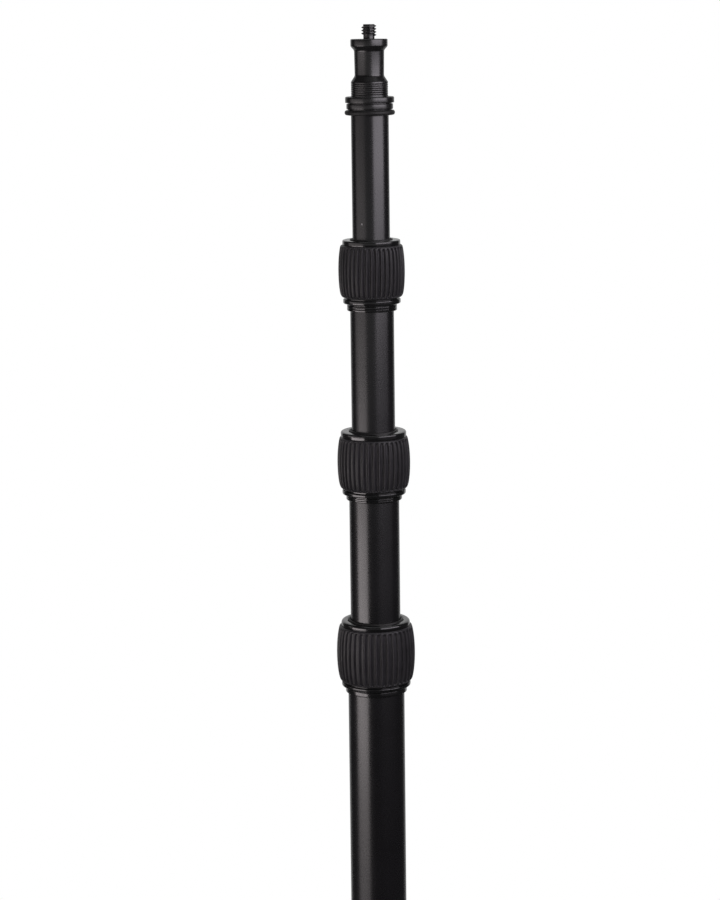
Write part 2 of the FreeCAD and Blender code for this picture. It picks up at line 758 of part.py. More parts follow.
def clamp_head():
    """The casting at the sleeve's top, with a threaded boss for the T-handle."""
    high = CLAMP_FOOT_Z + CLAMP_H
    hub = drum(CLAMP_R, CLAMP_FOOT_Z, high, CLAMP_CHAMFER)
    boss = rod(CLAMP_BOSS_R, Vector(0, 0, CLAMP_Z), Vector(0, -CLAMP_BOSS_REACH, CLAMP_Z))
    bore = rod(SLEEVE_R, Vector(0, 0, CLAMP_FOOT_Z - PAST), Vector(0, 0, high + PAST))
    screw_hole = rod(SCREW_R, Vector(0, 0, CLAMP_Z), Vector(0, -CLAMP_BOSS_REACH - PAST, CLAMP_Z))
    return hub.fuse(boss).cut([bore, screw_hole]).removeSplitter()


def brake_pad():
    """The brass plug that the T-handle's screw presses on the column, hollowed to the tube's curve."""
    plug = rod(SCREW_R - RUNNING_GAP, Vector(0, -TUBE_R[3] / 2, CLAMP_Z), Vector(0, PAD_END_Y, CLAMP_Z))
    tube_space = rod(TUBE_R[3] + PAD_GAP, Vector(0, 0, CLAMP_FOOT_Z), Vector(0, 0, CLAMP_FOOT_Z + CLAMP_H))
    return plug.cut(tube_space)


def clamp_screw():
    """The T-handle's screw with a round head, drilled for the cross bar."""
    neck = Vector(0, HEAD_Y, CLAMP_Z)
    thread = rod(SCREW_R - RUNNING_GAP, Vector(0, PAD_END_Y - PAD_TO_SCREW, CLAMP_Z), neck)
    head = rod(SCREW_HEAD_R, neck, Vector(0, HEAD_Y - SCREW_HEAD_H, CLAMP_Z))
    head = head.makeFillet(SCREW_HEAD_ROUND, [edge for edge in head.Edges if len(edge.Vertexes) == 1])
    return thread.fuse(head).removeSplitter().cut(t_bar())


def t_bar():
    """The T-handle's cross bar, through the screw's head."""
    half = T_BAR_LENGTH / 2
    bar = rod(T_BAR_R, Vector(0, T_BAR_Y, CLAMP_Z - half), Vector(0, T_BAR_Y, CLAMP_Z + half))
    bar.rotate(Vector(0, 0, CLAMP_Z), SIDEWAYS, T_BAR_TILT)
    return bar


def t_bar_caps():
    """The two rounded rubber caps on the T-handle's bar."""
    bar_end = T_BAR_LENGTH / 2
    mouth = bar_end - T_CAP_LENGTH
    caps = []
    for way in (0, 1):
        cap = lathe([
            (T_BAR_R, mouth),
            (T_CAP_R - T_CAP_MOUTH, mouth),
            (T_CAP_R, mouth + T_CAP_MOUTH),
            (T_CAP_R, bar_end - T_CAP_SIDE),
            (T_CAP_R - T_CAP_ROUND, bar_end + T_CAP_ROUND),
            (0, bar_end + T_CAP_ROUND),
            (0, bar_end),
            (T_BAR_R, bar_end),
        ])
        cap.rotate(ORIGIN, SIDEWAYS, T_BAR_TILT + 180 * way)
        cap.translate(Vector(0, T_BAR_Y, CLAMP_Z))
        caps.append(cap)
    return Part.makeCompound(caps)


def column_parts():
    """Every piece from the column's foot to the stud's tip, by name."""
    parts = {"column_end_cap": column_end_cap()}
    for i in range(4):
        parts[f"tube_{i + 1}"] = tube(i)
    parts["tube_1"] = parts["tube_1"].cut(grub_hole())
    for i in range(3):
        parts[f"tube_{i + 1}_guide"] = end_guide(i)
        parts[f"lock_{i + 1}_ferrule"] = ferrule(i)
        parts[f"lock_{i + 1}_collet"] = collet(i)
        parts[f"lock_{i + 1}_nut"] = nut(i)
        parts[f"lock_{i + 1}_grip"] = grip(i)
        parts[f"lock_{i + 1}_wiper"] = wiper(i)
    parts["stud"] = stud()
    parts["stop_ring"] = stop_ring()
    parts["bumper_ring"] = bumper_ring()
    parts["grub_screw"] = grub_screw()
    return parts


def base_parts():
    """The sleeve, the leg stack and the column clamp, by name."""
    parts = {
        "base_sleeve": base_sleeve(),
        "base_cap": base_cap(),
        "disc_springs": disc_springs(),
        "collar_spacers": spacers(),
        "clamp_head": clamp_head(),
        "brake_pad": brake_pad(),
        "clamp_screw": clamp_screw(),
        "t_bar": t_bar(),
        "t_bar_caps": t_bar_caps(),
    }
    for name, leg in LEGS.items():
        parts[f"{name}_leg_collar"] = leg_collar(leg)
        parts[f"{name}_leg_tube"] = leg_tube(leg)
        parts[f"{name}_leg_rivet"] = leg_rivet(leg)
        parts[f"{name}_leg_foot"] = leg_foot(leg)
    return parts


os.makedirs("parts", exist_ok=True)
for node, shape in {**column_parts(), **base_parts()}.items():
    shape.exportStep(f"parts/{node}.step")
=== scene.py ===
import json
import math

import bpy
from mathutils import Matrix, Vector


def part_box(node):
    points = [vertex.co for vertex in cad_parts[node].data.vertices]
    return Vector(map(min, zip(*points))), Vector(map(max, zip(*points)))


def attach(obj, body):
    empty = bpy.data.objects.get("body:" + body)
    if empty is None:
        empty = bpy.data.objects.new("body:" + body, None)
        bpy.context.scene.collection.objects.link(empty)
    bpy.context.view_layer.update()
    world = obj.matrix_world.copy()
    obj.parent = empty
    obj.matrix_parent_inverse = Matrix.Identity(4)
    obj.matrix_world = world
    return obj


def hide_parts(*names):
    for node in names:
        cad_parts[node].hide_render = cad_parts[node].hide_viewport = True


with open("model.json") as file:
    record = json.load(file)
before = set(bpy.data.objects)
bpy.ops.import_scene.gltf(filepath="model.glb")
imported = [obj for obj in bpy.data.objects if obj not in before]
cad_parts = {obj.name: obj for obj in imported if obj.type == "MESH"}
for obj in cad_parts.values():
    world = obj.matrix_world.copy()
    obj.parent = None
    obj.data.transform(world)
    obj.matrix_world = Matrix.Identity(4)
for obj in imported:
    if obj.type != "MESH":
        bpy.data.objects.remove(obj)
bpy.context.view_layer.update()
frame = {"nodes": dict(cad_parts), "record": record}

bl_info = {
    "name": "Telescopic studio stand",
    "version": (1, 0, 0),
    "blender": (4, 5, 0),
    "location": "View3D > Sidebar > Stand",
    "description": "Builds the finished pieces of a telescopic studio stand round its CAD frame",
    "category": "Object",
}

MM = 0.001
HAIR = 0.01 * MM  # what still counts as the same place
LOCKS = (1, 2, 3)
TUBE_BODY = {1: "riser_1", 2: "riser_2", 3: "riser_3", 4: "column"}
LEG_BODY = {"low": "low_leg", "mid": "mid_leg", "high": "base"}
LEG_AZIMUTH = {"low": 330, "mid": 210, "high": 90}
CHIP_PLACE = (-4.0 * MM, -7.05 * MM, 784.5 * MM)
CHIP_RADIUS = 0.32 * MM
BARE_METAL = (0.55, 0.54, 0.55, 1)
RIVET_HEAD = 1.6 * MM
WHITE = (1, 1, 1, 1)


# Sizes and colours that a user would change

class StandShape(bpy.types.PropertyGroup):
    """Sizes of the details that the CAD frame leaves to the finished pieces."""

    turning_steps: bpy.props.IntProperty(
        name="Turning steps", description="Sides of each turned piece", default=128, min=24)
    tube_wall: bpy.props.FloatProperty(
        name="Tube wall", description="Thickness of the column tubes", default=1.0 * MM, unit="LENGTH")
    flutes: bpy.props.IntProperty(
        name="Flutes", description="Upright flutes round each rubber grip", default=40, min=8)
    flute_depth: bpy.props.FloatProperty(
        name="Flute depth", description="How deep a flute is cut", default=0.8 * MM, unit="LENGTH")
    flute_band: bpy.props.FloatProperty(
        name="Flute band", description="Plain band above and below the flutes", default=0.35 * MM,
        unit="LENGTH")
    land_width: bpy.props.FloatProperty(
        name="Land width", description="Rubber left between two flutes", default=0.6 * MM, unit="LENGTH")
    shoulder: bpy.props.FloatProperty(
        name="Shoulder", description="How far a grip's upper end rounds in", default=0.8 * MM,
        unit="LENGTH")
    heel: bpy.props.FloatProperty(
        name="Heel", description="How far a grip's lower end rounds in", default=1.35 * MM, unit="LENGTH")
    lip_gap: bpy.props.FloatProperty(
        name="Lip gap", description="Groove between a grip and the lip below it", default=0.5 * MM,
        unit="LENGTH")
    thread_pitch: bpy.props.FloatProperty(
        name="Stud thread pitch", description="Rise of the stud's thread per turn", default=1.27 * MM,
        unit="LENGTH")
    clamp_pitch: bpy.props.FloatProperty(
        name="Clamp thread pitch", description="Rise of the clamp screw's thread per turn",
        default=1.25 * MM, unit="LENGTH")
    leg_bend: bpy.props.FloatProperty(
        name="Leg bend", description="Radius of a leg's bends on its centre line", default=42 * MM,
        unit="LENGTH")
    leg_level_run: bpy.props.FloatProperty(
        name="Leg level run", description="Where a leg's first bend has its corner", default=74 * MM,
        unit="LENGTH")
    leg_slope: bpy.props.FloatProperty(
        name="Leg slope", description="How steeply a leg drops", default=math.radians(50), subtype="ANGLE")


class StandFinish(bpy.types.PropertyGroup):
    """Colours of the stand's finishes."""

    tube: bpy.props.FloatVectorProperty(
        name="Tubes", description="Black anodised tube", subtype="COLOR", size=3,
        default=(0.0056, 0.0050, 0.0064))
    ring: bpy.props.FloatVectorProperty(
        name="Rings", description="Gloss black rings", subtype="COLOR", size=3,
        default=(0.006, 0.006, 0.0065))
    grip: bpy.props.FloatVectorProperty(
        name="Grips", description="Rubber grips", subtype="COLOR", size=3,
        default=(0.029, 0.0275, 0.031))
    stud: bpy.props.FloatVectorProperty(
        name="Stud", description="Plated stud and stop collar", subtype="COLOR", size=3,
        default=(0.007, 0.0066, 0.0072))
    paint: bpy.props.FloatVectorProperty(
        name="Base paint", description="Powder coat of the base", subtype="COLOR", size=3,
        default=(0.014, 0.014, 0.015))


class StandStage(bpy.types.PropertyGroup):
    """The camera and the studio."""

    lens: bpy.props.FloatProperty(name="Lens", description="Focal length in mm", default=98.3, min=1)
    tilt: bpy.props.FloatProperty(
        name="Tilt", description="How far the camera looks down", default=math.radians(10.26),
        subtype="ANGLE")
    roll: bpy.props.FloatProperty(
        name="Roll", description="How far the camera leans", default=math.radians(0.72), subtype="ANGLE")
    distance: bpy.props.FloatProperty(
        name="Distance", description="From the column's axis to the camera, level", default=1.061,
        unit="LENGTH")
    side: bpy.props.FloatProperty(
        name="Side step", description="How far left of the column the camera stands", default=6 * MM,
        unit="LENGTH")
    above_tip: bpy.props.FloatProperty(
        name="Height over tip", description="Camera height over the stud's tip", default=8 * MM,
        unit="LENGTH")
    floor_radius: bpy.props.FloatProperty(
        name="Floor radius", description="Radius of the pale floor", default=0.8, unit="LENGTH")
    light_distance: bpy.props.FloatProperty(
        name="Light distance", description="From the column to the softboxes' edges", default=1.1,
        unit="LENGTH")
    surroundings: bpy.props.FloatProperty(
        name="Surroundings", description="How much light the dim room adds", default=0.04, min=0)


# Tools for modelling

def shape():
    """The panel's sizes."""
    return bpy.context.scene.stand_shape


def clear_selection():
    """Deselects everything."""
    bpy.ops.object.select_all(action="DESELECT")


def make_active(piece):
    """Selects one piece alone."""
    clear_selection()
    piece.select_set(True)
    bpy.context.view_layer.objects.active = piece


def named(piece, name):
    """Names a piece and its mesh."""
    piece.name = piece.data.name = name
    return piece


def modify(piece, kind, **settings):
    """Adds a modifier with its settings and applies it."""
    modifier = piece.modifiers.new(kind.title(), kind)
    for name, value in settings.items():
        setattr(modifier, name, value)
    make_active(piece)
    bpy.ops.object.modifier_apply(modifier=modifier.name)


def settle(piece):
    """Moves a piece's place and turn into its mesh."""
    make_active(piece)
    bpy.ops.object.transform_apply(location=True, rotation=True, scale=True)


def smooth(piece, angle=32):
    """Shades a piece smooth up to an angle in degrees."""
    make_active(piece)
    bpy.ops.object.shade_smooth_by_angle(angle=math.radians(angle))


def edit_all(piece):
    """Enters edit mode with everything selected."""
    make_active(piece)
    bpy.ops.object.mode_set(mode="EDIT")
    bpy.ops.mesh.select_mode(type="VERT")
    bpy.ops.mesh.select_all(action="SELECT")


def to_object_mode():
    """Leaves edit mode."""
    bpy.ops.object.mode_set(mode="OBJECT")


def pick(piece, kind, wanted):
    """Selects the faces or edges of a mesh that pass a test, and leaves it in edit mode."""
    make_active(piece)
    bpy.ops.object.mode_set(mode="EDIT")
    bpy.ops.mesh.select_mode(type=kind)
    bpy.ops.mesh.select_all(action="DESELECT")
    to_object_mode()
    for part in {"EDGE": piece.data.edges, "FACE": piece.data.polygons}[kind]:
        part.select = wanted(part)
    bpy.ops.object.mode_set(mode="EDIT")


def pick_edges(piece, measure, value):
    """Selects the edges whose ends both have a measure's value, and leaves the mesh in edit mode."""
    points = piece.data.vertices
    pick(piece, "EDGE", lambda edge: all(
        abs(measure(points[end].co) - value) < HAIR for end in edge.vertices))


def face_outwards():
    """Turns the faces of the mesh in edit mode outwards and leaves edit mode."""
    bpy.ops.mesh.select_all(action="SELECT")
    bpy.ops.mesh.normals_make_consistent(inside=False)
    to_object_mode()


def clean_shell(piece):
    """Merges doubled points, drops loose edges and turns every face outwards."""
    edit_all(piece)
    bpy.ops.mesh.remove_doubles(threshold=0.004 * MM)
    bpy.ops.mesh.delete_loose(use_verts=True, use_edges=True, use_faces=False)
    face_outwards()


def outline_loop(name, corners):
    """A closed loop of edges in the XZ plane. A corner is (radius, height) or (radius, height, rounding)."""
    clear_selection()
    bpy.ops.mesh.primitive_circle_add(
        vertices=len(corners), radius=MM, fill_type="NOTHING", location=(0, 0, 0))
    loop = named(bpy.context.object, name)
    rounding = [corner[2] if len(corner) > 2 else 0.0 for corner in corners]
    for point, corner in zip(loop.data.vertices, corners):
        point.co = (corner[0], 0, corner[1])
    largest = max(rounding)
    if largest > 0:
        weights = loop.data.attributes.new("bevel_weight_vert", "FLOAT", "POINT")
        for weight, size in zip(weights.data, rounding):
            weight.value = size / largest
        modify(loop, "BEVEL", affect="VERTICES", limit_method="WEIGHT", width=largest, segments=5,
               use_clamp_overlap=False)
    return loop


def turn_on_lathe(name, corners, steps=None):
    """A closed outline spun round the Z axis, as on a lathe."""
    piece = outline_loop(name, corners)
    edit_all(piece)
    bpy.ops.mesh.spin(
        steps=steps or shape().turning_steps, angle=2 * math.pi, center=(0, 0, 0), axis=(0, 0, 1))
    to_object_mode()
    clean_shell(piece)
    smooth(piece)
    return piece


def helix_ridge(name, corners, pitch, turns, start_z):
    """A thread's ridge: a small section of plain corners swept up a helix, its ends run out to points."""
    ridge = outline_loop(name, corners)
    modify(ridge, "SCREW", axis="Z", screw_offset=pitch, iterations=turns, steps=64, render_steps=64,
           use_merge_vertices=False)
    ridge.location.z = start_z
    settle(ridge)
    edit_all(ridge)
    bpy.ops.mesh.select_all(action="DESELECT")
    bpy.ops.mesh.select_non_manifold(extend=False, use_wire=False, use_boundary=True)
    bpy.ops.mesh.merge(type="COLLAPSE")
    face_outwards()
    smooth(ridge, 50)
    return ridge


def round_bar(name, start, end, radius, sides=64):
    """A plain round bar between two points."""
    start, end = Vector(start), Vector(end)
    run = end - start
    clear_selection()
    bpy.ops.mesh.primitive_cylinder_add(
        vertices=sides, radius=radius, depth=run.length, location=(start + end) / 2,
        rotation=run.to_track_quat("Z", "Y").to_euler())
    bar = named(bpy.context.object, name)
    settle(bar)
    return bar


def block(name, middle, size):
    """A plain block."""
    clear_selection()
    bpy.ops.mesh.primitive_cube_add(size=1, location=middle)
    piece = named(bpy.context.object, name)
    piece.scale = size
    settle(piece)
    return piece


def boolean(piece, operation, others):
    """Adds or takes away other closed shapes, which are used up."""
    for other in others:
        modify(piece, "BOOLEAN", operation=operation, solver="EXACT", object=other)
        clear_selection()
        other.select_set(True)
        bpy.ops.object.delete()


def cut_away(piece, *cutters):
    """Takes shapes away from a piece."""
    boolean(piece, "DIFFERENCE", cutters)


def grow_together(piece, *others):
    """Adds shapes to a piece."""
    boolean(piece, "UNION", others)


def soften_like_a_casting(piece, voxel, passes):
    """Runs the joints of a fused shape into fillets, as in a mould."""
    modify(piece, "REMESH", mode="VOXEL", voxel_size=voxel)
    modify(piece, "SMOOTH", factor=0.5, iterations=passes)


def turn_about_column(piece, degrees):
    """Turns a piece about the column's axis."""
    piece.rotation_euler.z = math.radians(degrees)
    settle(piece)
    return piece


def lay_along(piece, start, direction):
    """Moves a piece made along +Z from the origin so that it runs from a point in a direction."""
    piece.rotation_euler = Vector(direction).to_track_quat("Z", "Y").to_euler()
    piece.location = start
    settle(piece)
    return piece


def join(main, *others):
    """Makes one piece of several."""
    clear_selection()
    for piece in (*others, main):
        piece.select_set(True)
    bpy.context.view_layer.objects.active = main
    bpy.ops.object.join()
    return main


def off_axis(place):
    """A place's distance from the column's axis."""
    return math.hypot(place[0], place[1])


def draw_in(points, share):
    """Moves points towards or away from the column's axis, each by its own share."""
    for point in points:
        factor = share(point.co)
        point.co.x *= factor
        point.co.y *= factor


def radius_between(node, low_z, high_z):
    """The largest distance from the column's axis of a CAD node's points between two heights."""
    return max(off_axis(v.co) for v in frame["nodes"][node].data.vertices if low_z <= v.co.z <= high_z)


def half_height(node):
    """Half of a CAD node's height."""
    low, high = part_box(node)
    return (high.z - low.z) / 2


def hand_over(piece, body, slot, *nodes):
    """Gives a finished piece its material, its body, and the CAD nodes that it stands for."""
    piece.data.materials.clear()
    piece.data.materials.append(finish_for(slot))
    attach(piece, body)
    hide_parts(*nodes)


# Finishes

class Recipe:
    """A short way to write a node material round one Principled shader."""

    def __init__(self, name):
        """Starts a material, with Object coordinates for its patterns."""
        self.material = bpy.data.materials.new(name)
        self.material.use_nodes = True
        self.nodes = self.material.node_tree.nodes
        self.links = self.material.node_tree.links
        self.shader = next(node for node in self.nodes if node.type == "BSDF_PRINCIPLED")
        self.coordinates = self.add("TexCoord").outputs["Object"]

    def add(self, kind, **inputs):
        """Adds a shader node and fills its inputs with constants or links."""
        node = self.nodes.new("ShaderNode" + kind)
        for name, value in inputs.items():
            self.fill(node.inputs[name.replace("_", " ")], value)
        return node

    def fill(self, socket, value):
        """Links another node's output to a socket, or sets the socket to a constant."""
        if hasattr(value, "is_output"):
            self.links.new(value, socket)
        else:
            socket.default_value = value

    def set(self, **values):
        """Sets or links the shader's own inputs."""
        for name, value in values.items():
            self.fill(self.shader.inputs[name.replace("_", " ")], value)

    def noise(self, scale, detail=4.0, roughness=0.55, stretch=(1, 1, 1), source=None):
        """A noise pattern from 0 to 1, stretched along the axes."""
        mapping = self.add("Mapping", Scale=stretch, Vector=source or self.coordinates)
        return self.add(
            "TexNoise", Scale=scale, Detail=detail, Roughness=roughness,
            Vector=mapping.outputs["Vector"]).outputs["Fac"]

    def colour(self, source, *stops):
        """Colours the surface by a pattern, through (place, colour) stops."""
        node = self.add("ValToRGB", Fac=source)
        elements = node.color_ramp.elements
        while len(elements) < len(stops):
            elements.new(0.5)
        for element, (place, colour) in zip(elements, stops):
            element.position = place
            element.color = (*colour, 1)
        self.set(Base_Color=node.outputs["Color"])
        return node.outputs["Color"]

    def span(self, source, low, high, from_low=0.3, from_high=0.7):
        """Stretches a pattern to run from a low to a high value."""
        return self.add(
            "MapRange", From_Min=from_low, From_Max=from_high, To_Min=low, To_Max=high,
            Value=source).outputs["Result"]

    def rough(self, *spans):
        """Sets the roughness by a pattern's span, or by the sum of two."""
        parts = [self.span(*span) for span in spans]
        self.set(Roughness=parts[0] if len(parts) == 1 else self.math("ADD", *parts))

    def math(self, operation, first, second=0.0):
        """One arithmetic step on patterns or numbers."""
        node = self.add("Math")
        node.operation = operation
        for socket, value in zip(node.inputs, (first, second)):
            self.fill(socket, value)
        return node.outputs["Value"]

    def mix(self, amount, first, second):
        """Runs from the first colour to the second by an amount from 0 to 1."""
        node = self.add("Mix")
        node.data_type = "RGBA"
        wanted = {("Factor", "VALUE"): amount, ("A", "RGBA"): first, ("B", "RGBA"): second}
        for socket in node.inputs:
            if (socket.name, socket.type) in wanted:
                self.fill(socket, wanted[socket.name, socket.type])
        return next(s for s in node.outputs if s.type == "RGBA")

    def split(self):
        """The Object coordinates, one by one."""
        return self.add("SeparateXYZ", Vector=self.coordinates).outputs

    def rings(self, scale, detail, stretch):
        """A noise pattern that runs in rings round the Z axis, as tool marks do."""
        place = self.split()
        squares = [self.math("POWER", place[axis], 2.0) for axis in "XY"]
        radius = self.math("SQRT", self.math("ADD", *squares))
        joined = self.add("CombineXYZ", X=radius, Z=place["Z"])
        return self.noise(scale, detail, stretch=stretch, source=joined.outputs["Vector"])

    def spot(self, centre, radius):
        """1 inside a small ball round a point and 0 outside it."""
        away = self.add("VectorMath")
        away.operation = "DISTANCE"
        self.fill(away.inputs[0], self.coordinates)
        self.fill(away.inputs[1], centre)
        return self.math("LESS_THAN", away.outputs["Value"], radius)

    def bump(self, height, distance, strength):
        """Raises the surface by a pattern, up to a distance."""
        node = self.add("Bump", Strength=strength, Distance=distance, Height=height)
        self.set(Normal=node.outputs["Normal"])


def tinted(name, factor):
    """One of the panel's colours, made lighter or darker."""
    return tuple(min(1.0, channel * factor) for channel in getattr(bpy.context.scene.stand_finish, name))


def anodised_tube(recipe):
    """Satin black anodising: faint drawn lines up the tube, soft clouding and one small chip."""
    recipe.set(IOR=1.7)
    clouds = recipe.noise(38, 5)
    lines = recipe.noise(900, 3, stretch=(1, 1, 0.02))
    tone = recipe.math("ADD", recipe.math("MULTIPLY", clouds, 0.6), recipe.math("MULTIPLY", lines, 0.4))
    blackened = recipe.colour(tone, (0.3, tinted("tube", 0.75)), (0.7, tinted("tube", 1.35)))
    recipe.set(Base_Color=recipe.mix(recipe.spot(CHIP_PLACE, CHIP_RADIUS), blackened, BARE_METAL))
    grain = recipe.noise(2600, 2)
    recipe.rough((clouds, 0.25, 0.29), (grain, -0.01, 0.015))
    recipe.bump(recipe.math("ADD", lines, recipe.math("MULTIPLY", grain, 0.3)), 0.002 * MM, 0.3)


def gloss_ring(recipe):
    """Gloss black turned metal: fine tool rings under a hard shine."""
    recipe.set(IOR=1.55, Coat_Weight=0.5, Coat_Roughness=0.06)
    rings = recipe.rings(5200, 2, (0.6, 1, 1))
    smears = recipe.noise(120, 5)
    recipe.colour(smears, (0.35, tinted("ring", 0.8)), (0.75, tinted("ring", 1.6)))
    recipe.rough((smears, 0.13, 0.24), (rings, -0.02, 0.03))
    recipe.bump(rings, 0.002 * MM, 0.35)


def turned_stud(recipe):
    """Black plated steel that keeps its lathe lines."""
    recipe.set(IOR=1.75)
    rings = recipe.rings(4200, 3, (0.8, 1, 1))
    wear = recipe.noise(260, 6)
    recipe.colour(wear, (0.3, tinted("stud", 0.8)), (0.8, tinted("stud", 1.7)))
    recipe.rough((wear, 0.22, 0.31), (rings, -0.03, 0.05))
    recipe.bump(rings, 0.002 * MM, 0.3)


def grip_rubber(recipe):
    """Matt moulded rubber: a fine even grain, with a little dust where hands rub."""
    recipe.set(IOR=1.5)
    grain = recipe.noise(3800, 3)
    dust = recipe.noise(180, 6, 0.65)
    recipe.colour(
        dust, (0.35, tinted("grip", 0.85)), (0.65, tinted("grip", 1.15)), (0.85, tinted("grip", 2.0)))
    recipe.rough((dust, 0.36, 0.46), (grain, -0.03, 0.04))
    recipe.bump(grain, 0.008 * MM, 0.5)


def soft_rubber(recipe):
    """Smooth black rubber, slightly greyed."""
    recipe.set(IOR=1.5)
    bloom = recipe.noise(220, 5)
    recipe.colour(bloom, (0.3, (0.011, 0.011, 0.0115)), (0.8, (0.024, 0.0235, 0.023)))
    recipe.rough((bloom, 0.42, 0.58))
    recipe.bump(recipe.noise(2400, 3), 0.008 * MM, 0.5)


def foot_rubber(recipe):
    """Tough black rubber, scuffed and dusted towards the floor."""
    recipe.set(IOR=1.5)
    grain = recipe.noise(1500)
    scuffs = recipe.noise(95, 7, 0.7, (1, 1, 2.5))
    low_down = recipe.span(recipe.split()["Z"], 1.0, 0.0, 0.0, 9 * MM)
    dusty = recipe.math("MULTIPLY", low_down, recipe.span(scuffs, 0.0, 1.0, 0.45, 0.7))
    recipe.set(Base_Color=recipe.mix(dusty, (0.012, 0.012, 0.0125, 1), (0.085, 0.08, 0.072, 1)))
    recipe.rough((scuffs, 0.52, 0.78))
    recipe.bump(recipe.math("ADD", grain, scuffs), 0.03 * MM, 0.6)


def painted_steel(recipe):
    """Satin powder coat on tube: a shallow orange peel and light scuffs."""
    recipe.set(IOR=1.5)
    scuffs = recipe.noise(70, 8, 0.7)
    recipe.colour(
        scuffs, (0.3, tinted("paint", 0.85)), (0.62, tinted("paint", 1.1)), (0.85, tinted("paint", 2.2)))
    recipe.rough((scuffs, 0.26, 0.42))
    recipe.bump(recipe.noise(1100, 2), 0.02 * MM, 0.5)


def cast_paint(recipe):
    """Powder coat over a sand casting: a coarser skin."""
    recipe.set(IOR=1.5)
    patches = recipe.noise(60, 6)
    recipe.colour(patches, (0.3, tinted("paint", 0.8)), (0.8, tinted("paint", 1.5)))
    recipe.rough((patches, 0.36, 0.52))
    recipe.bump(recipe.noise(620, 4, 0.6), 0.06 * MM, 0.6)


def bright_steel(recipe):
    """Bright zinc plate with hairline scratches and slight clouding."""
    recipe.set(Metallic=1.0)
    scratches = recipe.noise(1400, stretch=(1, 1, 0.05))
    clouds = recipe.noise(150, 5)
    recipe.colour(clouds, (0.3, (0.50, 0.51, 0.53)), (0.75, (0.72, 0.73, 0.75)))
    recipe.rough((clouds, 0.16, 0.28), (scratches, -0.04, 0.06))
    recipe.bump(scratches, 0.003 * MM, 0.4)


def dark_steel(recipe):
    """Blackened spring steel with a thin oil sheen."""
    recipe.set(Metallic=1.0)
    scale = recipe.noise(420, 6)
    recipe.colour(scale, (0.3, (0.06, 0.06, 0.065)), (0.75, (0.16, 0.155, 0.15)))
    recipe.rough((scale, 0.25, 0.45))
    recipe.bump(scale, 0.01 * MM, 0.4)


def nylon(recipe):
    """Moulded black nylon with a waxy skin."""
    recipe.set(IOR=1.53)
    flow = recipe.noise(140, stretch=(1, 1, 0.3))
    recipe.colour(flow, (0.3, (0.028, 0.028, 0.03)), (0.75, (0.05, 0.05, 0.052)))
    recipe.rough((flow, 0.38, 0.5))
    recipe.bump(recipe.noise(900), 0.01 * MM, 0.4)


def brass_pad(recipe):
    """Bare brass, turned and slightly tarnished."""
    recipe.set(Metallic=1.0)
    tarnish = recipe.noise(300, 6)
    recipe.colour(tarnish, (0.3, (0.42, 0.27, 0.09)), (0.7, (0.72, 0.52, 0.22)))
    recipe.rough((tarnish, 0.25, 0.42))
    recipe.bump(recipe.noise(2200, 3, stretch=(1, 0.05, 1)), 0.005 * MM, 0.4)


FINISHES = {
    "black_anodised_tube": anodised_tube,
    "black_gloss_ring": gloss_ring,
    "black_turned_stud": turned_stud,
    "grip_rubber": grip_rubber,
    "soft_rubber": soft_rubber,
    "foot_rubber": foot_rubber,
    "black_painted_steel": painted_steel,
    "black_cast": cast_paint,
    "bright_steel": bright_steel,
    "dark_steel": dark_steel,
    "nylon": nylon,
    "brass_pad": brass_pad,
}


def finish_for(slot):
    """The material of a slot, made the first time it is asked for."""
    found = bpy.data.materials.get("finish_" + slot)
    if found:
        return found
    recipe = Recipe("finish_" + slot)
    FINISHES[slot](recipe)
    return recipe.material


# Pieces

class STAND_OT_tubes(bpy.types.Operator):
    """Make the four column tubes"""

    bl_idname = "stand.tubes"
    bl_label = "Column tubes"

    EDGE = 0.2 * MM

    def execute(self, context):
        """Turns each tube."""
        for number, body in TUBE_BODY.items():
            low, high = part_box(f"tube_{number}")
            bore = high.x - shape().tube_wall
            tube = turn_on_lathe(f"column_tube_{number}", [
                (radius, height, self.EDGE)
                for radius, height in ((bore, low.z), (high.x, low.z), (high.x, high.z), (bore, high.z))])
            hand_over(tube, body, "black_anodised_tube", f"tube_{number}")
        return {"FINISHED"}


